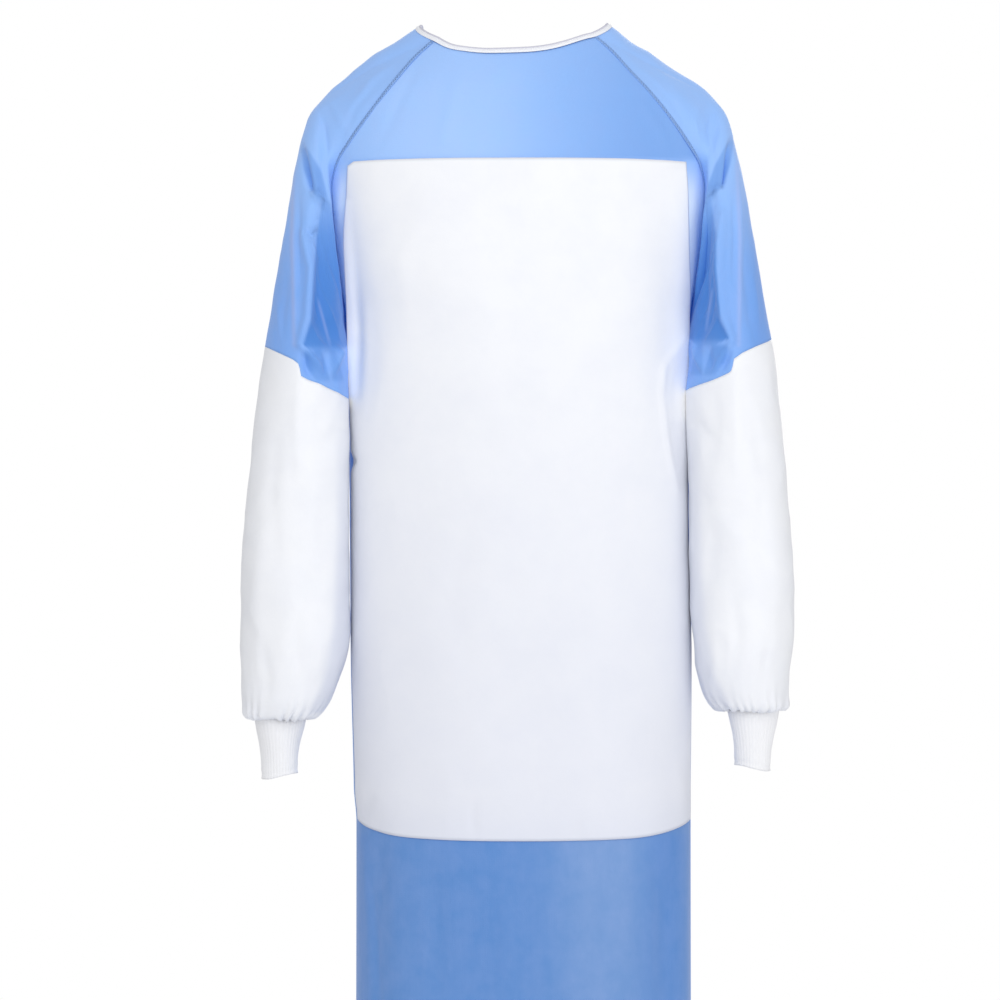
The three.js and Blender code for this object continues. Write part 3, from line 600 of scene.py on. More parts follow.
class Shader:
    """A material and its node tree, with one method that adds any node."""

    def __init__(self, name):
        self.material = bpy.data.materials.new(name)
        self.material.use_nodes = True
        self.tree = self.material.node_tree
        self.surface = self.tree.nodes["Principled BSDF"]

    def node(self, kind, settings, inputs, output=0):
        node = self.tree.nodes.new(kind)
        for key, value in settings.items():
            setattr(node, key, value)
        for key, value in inputs.items():
            self.feed(node.inputs[key], value)
        return Socket(self, node.outputs[output])

    def feed(self, socket, value):
        if isinstance(value, Socket):
            self.tree.links.new(value.output, socket)
        else:
            socket.default_value = value

    def place(self):
        return self.node("ShaderNodeTexCoord", {}, {}, "Object")

    def height(self):
        return self.node("ShaderNodeSeparateXYZ", {}, {0: self.place()}, "Z")

    def stretched(self, across, deep, up):
        """Places scaled along each axis, for a grain that runs one way."""
        inputs = {0: self.place(), 1: (across, deep, up)}
        return self.node("ShaderNodeVectorMath", {"operation": "MULTIPLY"}, inputs)

    def noise(self, scale, detail=2.0, roughness=0.5, vector=None):
        inputs = {"Vector": vector or self.place(), "Scale": scale, "Detail": detail, "Roughness": roughness}
        return self.node("ShaderNodeTexNoise", {}, inputs, "Fac")

    def cells(self, scale, randomness=0.35):
        inputs = {"Vector": self.place(), "Scale": scale, "Randomness": randomness}
        return self.node("ShaderNodeTexVoronoi", {}, inputs, "Distance")

    def attribute(self, name):
        return self.node("ShaderNodeAttribute", {"attribute_name": name}, {}, "Fac")

    def between(self, value, low, high):
        """Rises smoothly from 0 to 1 while a value goes from low to high."""
        settings = {"interpolation_type": "SMOOTHSTEP"}
        return self.node("ShaderNodeMapRange", settings, {0: value, 1: low, 2: high, 3: 0.0, 4: 1.0})

    def mix(self, factor, first, second):
        return self.node("ShaderNodeMix", {"data_type": "RGBA"}, {0: factor, 6: first, 7: second}, 2)

    def marked(self, base, name, tint):
        """A colour turned towards a tint where the cloth's attribute marks it."""
        return self.mix(self.attribute(name).clamped(), base, tint)

    def flecked(self, base, field, share, least, tint):
        """A colour turned unevenly towards a tint by a noise field."""
        return self.mix(((field - 0.5) * share + least).clamped(), base, tint)

    def bump(self, height, strength, distance):
        return self.node("ShaderNodeBump", {}, {"Height": height, "Strength": strength, "Distance": distance})

    def finish(self, base, roughness, normal=None, specular=0.35, sheen=0.0, glow=None):
        self.feed(self.surface.inputs["Base Color"], base)
        self.feed(self.surface.inputs["Roughness"], roughness)
        if normal is not None:
            self.feed(self.surface.inputs["Normal"], normal)
        if glow is not None:
            self.feed(self.surface.inputs["Emission Color"], glow)
            self.surface.inputs["Emission Strength"].default_value = 1.0
        self.surface.inputs["Specular IOR Level"].default_value = specular
        self.surface.inputs["Sheen Weight"].default_value = sheen
        return self.material


def colour(red, green, blue):
    return (red, green, blue, 1.0)


# Painted light and shade: the blue cloth is painted paler at the shoulders and darker at the skirt, through
# the three blues below
BLUE_HIGH = colour(0.30, 0.51, 0.90)
BLUE_MIDDLE = colour(0.205, 0.405, 0.83)
BLUE_LOW = colour(0.105, 0.242, 0.525)
# Painted shade: the deeper blue put where the cloth is marked deep
BLUE_PAINTED_SHADE = colour(0.032, 0.175, 0.54)
# Painted light: the pale blue put where the cloth is marked as lit
BLUE_PAINTED_LIGHT = colour(0.94, 1.0, 0.97)
BLUE_GLOW = colour(0.004, 0.022, 0.085)
# The mauve is the cloth's uneven tone and the crease lines' own tint, with a painted highlight there
MAUVE = colour(0.40, 0.47, 0.76)
WHITE_HIGH = colour(0.895, 0.91, 0.95)
# Painted shade: the white panel darkens towards this lower white at its foot
WHITE_LOW = colour(0.79, 0.81, 0.885)
# Painted shade where the white is marked deep, and also the white's uneven tone
WHITE_SHADE = colour(0.62, 0.66, 0.80)
# Painted light glowing where the white is marked
WHITE_GLOW = colour(0.44, 0.40, 0.28)
BLACK = colour(0.0, 0.0, 0.0)
# Painted shade on the binding's rolled rim, and also the uneven tone of the binding's fibres
RIM = colour(0.60, 0.60, 0.70)
KNIT = colour(0.91, 0.915, 0.94)
KNIT_SHADE = colour(0.70, 0.71, 0.76)
SEAM_BLUE = colour(0.25, 0.42, 0.78)
THREAD_BLUE = colour(0.42, 0.60, 0.92)
TIE_BLUE = colour(0.20, 0.38, 0.76)
FLOOR_GREY = colour(0.86, 0.86, 0.87)


def blue_cloth():
    """Blue nonwoven: bonded dots over tangled fibres; painted paler at the top and darker below, with painted
    shade where marked deep, where the cloth partly lies double too, painted light where marked, the crease
    lines' own mauve with a painted highlight, and a faint painted glow all over.
    """
    shader = Shader("blue_cloth")
    # Painted light and shade: paler at the shoulders, darker towards the skirt
    upper = shader.mix(shader.between(shader.height(), -0.32, -0.14), BLUE_MIDDLE, BLUE_HIGH)
    base = shader.mix(shader.between(shader.height(), -0.92, -0.42), BLUE_LOW, upper)
    mottle = shader.noise(48.0, 5.0, 0.62)
    streaks = shader.noise(9.0, 4.0, 0.6, shader.stretched(6.0, 6.0, 1.0))
    base = shader.mix(((mottle - 0.5) * 0.3 + (streaks - 0.5) * 0.2 + 0.06).clamped(), base, MAUVE)
    # Painted shade, painted light, and the crease lines' own mauve with a painted highlight, each where the
    # cloth's attribute marks it
    for name, tint in (("deep", BLUE_PAINTED_SHADE), ("painted_light", BLUE_PAINTED_LIGHT), ("pressed_and_highlight", MAUVE)):
        base = shader.marked(base, name, tint)
    dots = shader.between(shader.cells(520.0), 0.15, 0.45)
    fibres = shader.noise(900.0, 3.0, 0.7)
    small_creases = shader.noise(70.0, 3.0, 0.6, shader.stretched(1.0, 1.0, 0.45))
    normal = shader.bump(dots * 0.25 + fibres * 0.25 + small_creases * 1.2, 0.3, 0.0008)
    return shader.finish(base, 0.6 + 0.12 * (mottle - 0.5), normal, sheen=0.15, glow=BLUE_GLOW)


def white_cloth(name, low):
    """White laminate: smooth and a little silky, with a faint fibre grain and soft dents."""
    shader = Shader(name)
    # Painted shade: darker towards the bottom when low is darker, and where marked deep; painted light glows
    # where marked
    base = shader.mix(shader.between(shader.height(), -0.90, -0.20), low, WHITE_HIGH)
    mottle = shader.noise(20.0, 5.0, 0.62)
    base = shader.flecked(base, mottle, 0.35, 0.04, WHITE_SHADE)
    base = shader.marked(base, "deep", WHITE_SHADE)
    glow = shader.marked(BLACK, "painted_light", WHITE_GLOW)
    fibres = shader.noise(700.0, 3.0, 0.7)
    small_creases = shader.noise(55.0, 4.0, 0.6)
    normal = shader.bump(fibres * 0.15 + small_creases, 0.22, 0.0010)
    return shader.finish(base, 0.48 + 0.12 * (mottle - 0.5), normal, glow=glow)


def knit_cloth():
    """White rib knit: soft loops run round each rib."""
    shader = Shader("knit")
    loops = shader.noise(900.0, 2.0, 0.6, shader.stretched(0.7, 0.7, 1.6))
    base = shader.flecked(KNIT, loops, 0.3, 0.08, KNIT_SHADE)
    return shader.finish(base, 0.9 + 0.1 * (loops - 0.5), shader.bump(loops, 0.5, 0.0005), 0.2, 0.3)


def strip_cloth(name, base, edge):
    """A folded strip; its rolled rim, where marked, is painted greyer as shade."""
    shader = Shader(name)
    fibres = shader.noise(420.0, 4.0, 0.7)
    tone = shader.flecked(shader.marked(base, "rim", edge), fibres, 0.4, 0.06, edge)
    return shader.finish(tone, 0.7 + 0.1 * (fibres - 0.5), shader.bump(fibres, 0.3, 0.0005))


MATERIALS = {
    "blue_cloth": blue_cloth(),
    "white_cloth": white_cloth("white_cloth", WHITE_LOW),
    "white_sleeve": white_cloth("white_sleeve", WHITE_HIGH),
    "knit": knit_cloth(),
    "binding": strip_cloth("binding", WHITE_HIGH, RIM),
    "tie_cloth": strip_cloth("tie_cloth", TIE_BLUE, BLUE_LOW),
    "seam": strip_cloth("seam", SEAM_BLUE, BLUE_LOW),
    "thread": strip_cloth("thread", THREAD_BLUE, SEAM_BLUE),
}


def dress(piece, slot, node=None, finish=None):
    """Gives a piece its finish and its body, and hides the solid it stands for."""
    piece.data.materials.clear()
    piece.data.materials.append(MATERIALS[finish or slot])
    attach(piece, "root")
    if node:
        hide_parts(node)


# Soft waves and crisp facets of each cloth: seed, count, longest, shortest, lift and stretch
SLEEVE_WAVES = (11, 16, 0.10, 0.04, 0.0007, 2.0)
SLEEVE_FACETS = (21, 12, 0.09, 0.035, 0.0008, 1.6)
FRONT_WAVES = (5, 18, 0.30, 0.09, 0.0009, 2.0)
FRONT_FACETS = (7, 14, 0.16, 0.06, 0.0005, 1.5)
BACK_WAVES = (31, 18, 0.26, 0.08, 0.0009, 2.0)
BACK_FACETS = (33, 14, 0.15, 0.05, 0.0006, 1.5)
TIE_WAVES = (3, 8, 0.08, 0.04, 0.0004)
TAB_WAVES = (9, 6, 0.05, 0.02, 0.0002)


def ripples(points, seed, count, longest, shortest, lift, stretch=1.0):
    """Soft uneven waves over a cloth: many crossed sines, drawn out along the height by stretch."""
    random = np.random.default_rng(seed)
    field = np.zeros(points.shape[:2])
    for _ in range(count):
        direction = random.normal(size=3) * np.array([1, 1, 1 / stretch])
        direction /= np.linalg.norm(direction)
        length = mix(longest, shortest, random.random())
        field += np.sin(points @ direction * 2 * math.pi / length + random.uniform(0, 2 * math.pi))
    return lift * field / math.sqrt(count)


def facets(points, seed, count, longest, shortest, lift, stretch=1.0):
    """Uneven small planes with crisp ridges between them, as stiff cloth takes."""
    return lift * (0.6 - np.abs(ripples(points, seed, count, longest, shortest, 1.0, stretch)))


def px(x, y):
    """The place in the gown's middle plane that a point of a thousand-wide front view shows."""
    return CAMERA_ACROSS + (x - 500) * VIEW_SIZE / 1000, CAMERA_HEIGHT + (500 - y) * VIEW_SIZE / 1000


def creases(*rows):
    """Creases of the front view: rows of lift and width in millimetres, taper, then x and y of each place."""
    lines = []
    for lift, width, taper, *places in rows:
        path = [px(x, y) for x, y in zip(places[::2], places[1::2])]
        lines.append({"lift": lift * MM, "width": width * MM, "taper": taper, "path": path})
    return lines


def patch(points, edge, *rows):
    """The strength of a soft-edged patch of the front view, given by rows of (y, left, right, strength)."""
    x, z = seen(points)
    rows = np.array(rows, dtype=float)
    _, heights = px(0, rows[:, 0])
    left, right = (px(rows[:, column], 0)[0] for column in (1, 2))
    order = np.argsort(heights)
    at = [np.interp(z, heights[order], values[order]) for values in (left, right, rows[:, 3])]
    half = edge * MM / 2
    low, high = heights.min(), heights.max()
    fade = window(z, low - 4 * MM, low + 2 * MM, high - 2 * MM, high + 4 * MM)
    return at[2] * window(x, at[0] - half, at[0] + half, at[1] - half, at[1] + half) * fade


def patches(points, areas):
    """The sum of soft patches, each an edge in millimetres and its rows."""
    return sum(patch(points, *area) for area in areas)


def state_sheet(points, closed, held, fullness=1.0):
    """Works out a cloth's cut: its uncreased grid laid out flat, with its fullness where it is gathered;
    nothing is kept or returned.
    """
    ring = np.concatenate([points, points[:, :1]], axis=1) if closed else points
    widths = np.linalg.norm(np.diff(ring, axis=1), axis=-1).sum(axis=1) * fullness
    width = widths[-1] if held == "hung" and closed else widths.max()
    length = np.linalg.norm(np.diff(points, axis=0), axis=-1).sum(axis=0).max()
    first, second = ring[1:, 1:] - ring[:-1, :-1], ring[1:, :-1] - ring[:-1, 1:]
    area = np.linalg.norm(np.cross(first, second), axis=-1).sum() / 2 * fullness
    flat = (round(float(width), 3), round(float(length), 3))
    area = min(round(float(area), 4), round(flat[0] * flat[1], 4))


def make_cloth(node, slot, points, plain, closed, held, rests_on=(), fullness=1.0, wall=SHELL, **more):
    """A walled cloth piece that stands for a solid, whose cut is worked out but not kept; more is its
    attributes and its finish.
    """
    kind = "knit" if slot == "knit" else "cloth"
    piece = cloth_mesh(f"{node}_{kind}", points, closed, more.get("attributes"))
    thicken(piece, wall)
    state_sheet(plain, closed, held, fullness)
    dress(piece, slot, node, finish=more.get("finish"))


def raised(points, closed, fields):
    """Points moved out along their normals."""
    return points + grid_normals(points, closed) * fields[..., None]


# Creases of the upper sleeves, as the front view shows them, by side
SLEEVE_LINES = {
    -1: creases(
        (8.0, 5, 0.3, 304, 232, 311, 268, 308, 318, 300, 345),
        (-9.0, 10, 0.3, 322, 214, 325, 270, 322, 320, 333, 346),
        (5.0, 3.5, 0.6, 300, 345, 314, 360, 326, 378),
        (-5.5, 5, 0.6, 304, 352, 306, 366, 312, 380),
        (5.0, 3.5, 0.6, 335, 344, 342, 352, 331, 376),
        (-3.5, 4, 0.6, 327, 352, 326, 366, 322, 378),
        (-8.0, 4, 0.3, 301, 147, 306, 170, 312, 192),
        (5.5, 4, 0.6, 309, 190, 317, 197, 328, 204),
        (2.5, 7, 0.6, 322, 112, 316, 140, 318, 165),
        (1.8, 3, 0.3, 296, 162, 294, 240, 296, 335),
        (-1.8, 4, 0.6, 287, 270, 283, 318, 280, 350),
        (-4.0, 3, 0.6, 303, 230, 311, 233, 322, 228),
        (1.5, 3, 0.6, 276, 298, 280, 325, 282, 348),
        (1.6, 2.2, 0.6, 320, 262, 327, 296, 339, 334, 344, 346),
        (-1.6, 2.6, 0.6, 313, 286, 322, 312, 332, 332),
        (1.8, 2.4, 0.6, 306, 240, 315, 246, 322, 262),
        (-1.8, 3, 0.6, 299, 196, 298, 240, 300, 290),
        (1.2, 2.4, 0.6, 310, 322, 318, 338, 330, 348),
        (1.4, 4, 0.6, 398, 62, 372, 80, 348, 112),
        (-1.3, 5, 0.6, 388, 74, 356, 106, 340, 146),
        (1.2, 3, 0.6, 330, 100, 342, 124, 352, 140),
        (-1.0, 3, 0.6, 318, 106, 326, 130, 327, 158),
    ),
    1: creases(
        (8.0, 5, 0.3, 722, 214, 719, 270, 723, 315, 732, 340),
        (-9.0, 10, 0.3, 704, 212, 699, 275, 704, 320, 695, 346),
        (5.0, 3.5, 0.6, 732, 341, 722, 357, 711, 374),
        (-5.5, 5, 0.6, 729, 348, 725, 360, 719, 370),
        (5.0, 3.5, 0.6, 694, 337, 692, 348, 704, 372),
        (-3.5, 4, 0.6, 707, 345, 708, 358, 713, 370),
        (-8.0, 4, 0.3, 732, 141, 728, 166, 721, 188),
        (5.5, 4, 0.6, 725, 184, 717, 190, 706, 199),
        (2.5, 7, 0.6, 716, 112, 722, 130, 714, 160),
        (1.8, 3, 0.3, 738, 165, 741, 240, 739, 330),
        (-1.8, 4, 0.6, 745, 270, 750, 318, 755, 342),
        (1.5, 3, 0.6, 752, 270, 756, 300, 759, 330),
        (1.6, 2.2, 0.6, 716, 258, 708, 292, 698, 326, 692, 340),
        (-1.6, 2.6, 0.6, 719, 284, 712, 308, 704, 326),
        (1.8, 2.4, 0.6, 724, 240, 716, 248, 709, 262),
        (-1.8, 3, 0.6, 733, 192, 735, 236, 733, 286),
        (1.2, 2.4, 0.6, 718, 318, 710, 332, 700, 342),
        (1.4, 4, 0.6, 628, 58, 654, 78, 682, 108),
        (-1.3, 5, 0.6, 640, 66, 672, 100, 690, 138),
        (1.2, 3, 0.6, 704, 98, 694, 120, 700, 142),
        (-1.0, 3, 0.6, 716, 104, 708, 128, 712, 150),
    ),
}
# Painted shade in the upper sleeve's inner facet and folds, where its cloth partly lies double too, as
# patches of the front view
SLEEVE_PAINTED_SHADE = {
    -1: [
        (4, (203, 322, 330, 0.3), (235, 317, 337, 0.65), (270, 314, 341, 0.8), (320, 311, 347, 0.9),
         (345, 303, 348, 0.8), (352, 316, 340, 0.2)),
        (4, (148, 301, 307, 0.3), (170, 304, 321, 0.45), (190, 311, 326, 0.45), (203, 321, 329, 0.2)),
        (4, (352, 304, 322, 0.45), (366, 306, 326, 0.4), (380, 316, 330, 0.3)),
        (4, (352, 330, 336, 0.3), (380, 332, 344, 0.3)),
    ],
    1: [
        (4, (200, 704, 711, 0.3), (235, 696, 716, 0.65), (270, 692, 716, 0.8), (320, 690, 720, 0.9),
         (338, 689, 729, 0.8), (346, 697, 713, 0.2)),
        (4, (141, 728, 734, 0.3), (165, 715, 730, 0.45), (185, 708, 723, 0.45), (199, 705, 712, 0.2)),
        (4, (346, 712, 728, 0.45), (360, 708, 726, 0.4), (374, 704, 716, 0.3)),
        (4, (346, 697, 703, 0.3), (374, 690, 702, 0.3)),
    ],
}
# How much painted shade deepens the blue round the outer side of each upper sleeve
SLEEVE_OUTER_SHADE = {-1: 0.08, 1: 0.34}
# The upper sleeves' pressed crease lines: a mauve tint of their own and a painted highlight on their ridges
SLEEVE_PRESSED_AND_HIGHLIGHT = {
    -1: creases(
        (1, 2.6, 0.15, 293, 160, 292, 240, 294, 345),
        (0.7, 1.6, 0.3, 318, 300, 330, 345),
    ),
    1: creases(
        (1, 2.6, 0.15, 737, 165, 740, 240, 739, 345),
        (0.7, 1.6, 0.3, 712, 290, 706, 330),
    ),
}
# Soft dents of the lower sleeves
FOREARM_LINES = {
    -1: creases(
        (-2.0, 9, 0.6, 322, 395, 318, 430, 326, 470),
        (1.6, 7, 0.6, 300, 375, 296, 420, 300, 480),
        (-1.8, 8, 0.6, 278, 420, 272, 500, 276, 560),
        (-2.2, 10, 0.6, 330, 480, 322, 540, 326, 600),
        (1.8, 9, 0.6, 262, 520, 256, 600, 262, 660),
        (-2.5, 8, 0.6, 340, 425, 330, 440, 322, 446),
        (-1.8, 7, 0.6, 300, 600, 296, 650, 304, 690),
        (-1.5, 6, 0.6, 262, 640, 268, 680, 266, 704),
        (1.5, 6, 0.6, 322, 630, 318, 670, 322, 700),
    ),
    1: creases(
        (-2.0, 9, 0.6, 712, 385, 716, 430, 708, 470),
        (1.6, 7, 0.6, 732, 370, 738, 420, 734, 480),
        (-1.8, 8, 0.6, 756, 420, 762, 500, 758, 560),
        (-2.2, 10, 0.6, 702, 480, 712, 540, 706, 600),
        (1.8, 9, 0.6, 772, 520, 778, 600, 770, 660),
        (-2.5, 8, 0.6, 694, 418, 704, 432, 712, 440),
        (-1.8, 7, 0.6, 734, 590, 738, 640, 730, 685),
        (-1.5, 6, 0.6, 770, 630, 764, 670, 766, 694),
        (1.5, 6, 0.6, 712, 620, 716, 660, 712, 692),
    ),
}
# Creases of the front round and over the panel, then of the skirt, then of the chest
FRONT_LINES = creases(
    (2.2, 4, 0.3, 683, 338, 663, 366, 660, 395, 666, 440, 676, 492),
    (-2.8, 8, 0.4, 684, 352, 676, 390, 676, 430, 682, 480),
    (-1.0, 6, 0.6, 354, 272, 355, 320, 351, 372),
    (1.6, 6, 0.6, 366, 300, 368, 350, 364, 410),
    (1.2, 12, 0.6, 430, 190, 400, 260, 410, 330),
    (-1.2, 14, 0.6, 470, 520, 450, 600, 470, 680),
    (1.2, 16, 0.6, 600, 420, 610, 520, 590, 620),
    (-1.0, 12, 0.6, 560, 250, 600, 300, 640, 330),
    (-1.4, 5, 0.6, 474, 800, 473, 818, 474, 838),
    (1.4, 6, 0.6, 590, 806, 586, 822, 590, 840),
    (-1.6, 7, 0.6, 372, 790, 366, 806, 362, 818),
    (1.6, 7, 0.6, 676, 760, 681, 790, 684, 818),
    (-5.0, 4, 0.4, 342, 448, 353, 461, 344, 474),
    (-1.5, 3, 0.3, 368, 880, 374, 940, 378, 1010),
    (1.5, 5, 0.3, 362, 850, 366, 930, 370, 1010),
    (-1.2, 9, 0.6, 430, 870, 440, 930, 436, 1010),
    (1.2, 9, 0.6, 500, 880, 508, 950, 500, 1020),
    (-1.8, 9, 0.3, 655, 860, 662, 930, 660, 1020),
    (-1.2, 3, 0.6, 676, 112, 684, 118, 690, 128),
    (1.2, 3, 0.6, 690, 106, 684, 118, 683, 130),
    (-1.2, 6, 0.6, 420, 60, 400, 100, 378, 150),
    (1.2, 8, 0.6, 460, 70, 450, 110, 440, 150),
    (-1.0, 8, 0.6, 560, 60, 575, 100, 590, 150),
    (1.2, 6, 0.6, 640, 100, 660, 130, 670, 155),
    (-1.5, 4, 0.6, 345, 165, 342, 200, 338, 250),
)


def sleeve_columns():
    """The sleeve's columns once round from the shoulder."""
    half = spread((0, 14), (NECK_COLUMNS, 62), (HALF_SLEEVE, 0))
    return np.concatenate([half, 2 * HALF_SLEEVE - half[-2:0:-1]])


def faces_front(points, closed):
    """1 on the cloth that faces the front, -1 on the cloth that faces the back, 0 at the sides."""
    return np.clip(-grid_normals(points, closed)[..., 1] * 3.0, -1, 1)


def both_faces(points, closed, lines, back_share=0.7, back_drop=0.022):
    """Creases on the front, and similar ones a little lower on the hidden back."""
    facing = faces_front(points, closed)
    lowered = points + np.array([0, 0, back_drop])
    lowered[..., 1] = -lowered[..., 1]
    front_field = lines_field(points, lines) * np.maximum(facing, 0)
    return front_field + back_share * lines_field(lowered, lines) * np.maximum(-facing, 0)


# The soft shade down the inner side of the lower sleeves
FOREARM_SHADE = {
    -1: [(12, (430, 338, 358, 0.15), (520, 338, 358, 0.35), (620, 334, 356, 0.5), (680, 324, 348, 0.5),
          (712, 310, 332, 0.4))],
    1: [(12, (430, 682, 700, 0.12), (520, 682, 700, 0.25), (620, 684, 704, 0.4), (680, 692, 716, 0.4),
         (712, 712, 734, 0.3))],
}

# How far the colour seam steps up or down from a straight line, across the front view
SEAM_JOG = {
    -1: ((262, 0), (280, 3), (293, 5), (299, 4), (301, -7.5), (308, -7), (319, -4), (345, 0)),
    1: ((690, 0), (700, -2), (712, -5), (729, -8), (732, -7), (734, 4), (742, 5), (755, 3), (768, 0)),
}


JOG_FADE_ROWS = 9.0


def colour_seam_jog(points, side, row):
    """Heights that step the colour seam at the main fold, fading away along the sleeve."""
    places = np.array(SEAM_JOG[side], dtype=float)
    across, _ = px(places[:, 0], 0)
    step = np.interp(seen(points[row])[0], across, places[:, 1]) * MM
    step = step * (faces_front(points, True)[row] > 0)
    near = np.exp(-((np.arange(len(points)) - row) / JOG_FADE_ROWS) ** 2)
    return near[:, None] * step[None, :]


def upper_marks(points, side):
    """Where an upper sleeve gets painted shade, and where its crease lines get their mauve and painted
    highlight.
    """
    outer = smoothstep(seen(points)[0] * side, 0.245, 0.275)
    deep = patches(points, SLEEVE_PAINTED_SHADE[side]) + SLEEVE_OUTER_SHADE[side] * outer
    return {"deep": deep, "pressed_and_highlight": 0.5 * both_faces(points, True, SLEEVE_PRESSED_AND_HIGHLIGHT[side]) / MM}


def make_sleeve(side, name):
    """One sleeve, parted at its colour seam into the blue upper part and the white lower part."""
    knots = sleeve_knots(side, sleeve_columns())
    seam_step = CAP_RINGS + COLOUR_RING
    last_step = len(knots) - 1
    upper_steps = spread((0, 36), (CAP_RINGS, 110), (seam_step, 0))
    lower_steps = spread((seam_step, 84), (last_step - 4, 48), (last_step, 0))
    seam_row = len(upper_steps) - 1
    plain = np.concatenate([along_rings(knots, upper_steps), along_rings(knots, lower_steps)[1:]])
    plain[..., 2] += colour_seam_jog(plain, side, seam_row)
    depth = both_faces(plain, True, SLEEVE_LINES[side]) + both_faces(plain, True, FOREARM_LINES[side])
    depth += ripples(plain, SLEEVE_WAVES[0] + side, *SLEEVE_WAVES[1:])
    depth += facets(plain, SLEEVE_FACETS[0] + side, *SLEEVE_FACETS[1:])
    cap_fade = smoothstep(np.linspace(0, 1, len(plain)), 0.0, 0.04)[:, None]
    whole = raised(plain, True, depth * cap_fade)
    upper, lower = slice(0, seam_row + 1), slice(seam_row, None)
    make_cloth(f"sleeve_{name}", "blue_cloth", whole[upper], plain[upper], True, "hung",
               attributes=upper_marks(whole[upper], side))
    shade = {"deep": patches(whole[lower], FOREARM_SHADE[side])}
    make_cloth(f"forearm_{name}", "white_cloth", whole[lower], plain[lower], True, "gathered", (), 1.04,
               attributes=shade, finish="white_sleeve")


def body_heights():
    """Rows of the body's cloth: along the raglan seam's own rows, then evenly down to the hem."""
    raglan = seam_row_height(np.linspace(0, SEAM_COLUMNS, RAGLAN_ROWS))
    return np.concatenate([raglan, np.linspace(UNDERARM, HEM, BODY_ROWS)[1:]])


def front_depth(points):
    """The front's creases and soft waves, which its panel follows."""
    edge = smoothstep(-grid_normals(points, False)[..., 1], 0.1, 0.4)
    depth = lines_field(points, FRONT_LINES) * edge
    depth += ripples(points, *FRONT_WAVES) * edge
    return depth + facets(points, *FRONT_FACETS) * edge


# Soft patches of the front, in places of the front view: painted shade in a deeper blue first, then painted
# light in a paler one
FRONT_PAINTED_SHADE = (
    (190, (40, 575, 720, 0.22), (100, 575, 730, 0.36), (158, 575, 730, 0.40)),
    (50, (835, 645, 684, 0.26), (1080, 642, 682, 0.16)),
    (110, (835, 440, 540, 0.12), (1080, 430, 540, 0.08)),
    (20, (835, 352, 362, 0.25), (1080, 352, 366, 0.15)),
)
FRONT_PAINTED_LIGHT = (
    (75, (835, 560, 645, 0.07), (1080, 566, 650, 0.04)),
    (120, (35, 380, 520, 0.06), (158, 360, 500, 0.10)),
)
BESIDE_PANEL_PAINTED_LIGHT = 0.88
BESIDE_PANEL_WINDOW = (UNDERARM - 0.1, UNDERARM + 0.02, -0.21, -0.155)


def make_front():
    shares = spread((-1, 14), (-PANEL_SHARE, 88), (PANEL_SHARE, 14), (1, 0))
    plain = front_points(body_heights(), shares)
    points = raised(plain, False, front_depth(plain) - SHELL * 0.5)
    # Painted light: the blue beside the panel is painted pale from below the underarm up towards the
    # shoulder, with patches of painted light and painted shade
    beyond = smoothstep(np.abs(shares), PANEL_SHARE * 0.97, PANEL_SHARE * 1.02)[None, :]
    lit = beyond * window(plain[..., 2], *BESIDE_PANEL_WINDOW)
    marks = {"deep": patches(plain, FRONT_PAINTED_SHADE), "painted_light": BESIDE_PANEL_PAINTED_LIGHT * lit + patches(plain, FRONT_PAINTED_LIGHT)}
    make_cloth("front", "blue_cloth", points, plain, False, "hung", attributes=marks)


# Painted light glowing on the panel's side edges, and the tuck beside the right lower sleeve, which gets
# painted shade, in places of the front view
PANEL_GLOW = (
    (12, (200, 335, 350, 0.2), (270, 335, 356, 0.6), (330, 335, 360, 1.0), (392, 335, 358, 0.7),
     (410, 335, 352, 0.1)),
    (28, (170, 672, 705, 0.1), (290, 670, 705, 0.3), (330, 670, 705, 0.45), (385, 672, 705, 0.4),
     (420, 674, 705, 0.1)),
)
PANEL_TUCK = creases((1, 8, 0.4, 676, 375, 675, 420, 679, 470))
PANEL_OUT = 0.0013
CORNER_DROP = 0.004
CORNER_REACH = 0.012
FOOT_LIFT = 0.0088
FOOT_REACH = 0.10


def make_panel():
    """The panel lies on the front's face; its top left corner is rounded, and its foot's ends are lifted."""
    heights = np.linspace(PANEL_TOP, PANEL_FOOT, 190)
    shares = np.linspace(-PANEL_SHARE, PANEL_SHARE, 131)
    plain = front_points(heights, shares)
    points = plain.copy()
    corner = smoothstep(-shares, PANEL_SHARE * 0.93, PANEL_SHARE)[None, :]
    corner = corner * smoothstep(heights, PANEL_TOP - CORNER_REACH, PANEL_TOP)[:, None]
    points[..., 2] -= corner * CORNER_DROP
    foot = np.clip(np.abs(shares) / PANEL_SHARE * 1.8 - 0.8, 0, 1) ** np.where(shares > 0, 1.4, 2.2)
    foot_fade = 1 - smoothstep(heights, PANEL_FOOT, PANEL_FOOT + FOOT_REACH)
    points[..., 2] += FOOT_LIFT * foot * foot_fade[:, None]
    points = raised(points, False, front_depth(points) + PANEL_OUT)
    # Painted shade: darker along the panel's edges, towards its foot and along the tuck
    end_rim = np.minimum(heights - PANEL_FOOT, PANEL_TOP - heights)[:, None]
    side_rim = (PANEL_SHARE - np.abs(shares))[None, :] * 0.2
    deep = 0.35 * (1 - smoothstep(np.minimum(end_rim, side_rim), 0.0, 0.004))
    deep = deep + 0.22 * (1 - smoothstep(heights, PANEL_FOOT, PANEL_FOOT + 0.05))[:, None]
    deep = deep + lines_field(points, PANEL_TUCK) / MM * 0.12
    marks = {"deep": deep, "painted_light": patches(plain, PANEL_GLOW)}
    make_cloth("front_panel", "white_cloth", points, plain, False, "laid", ["front_cloth"], attributes=marks)


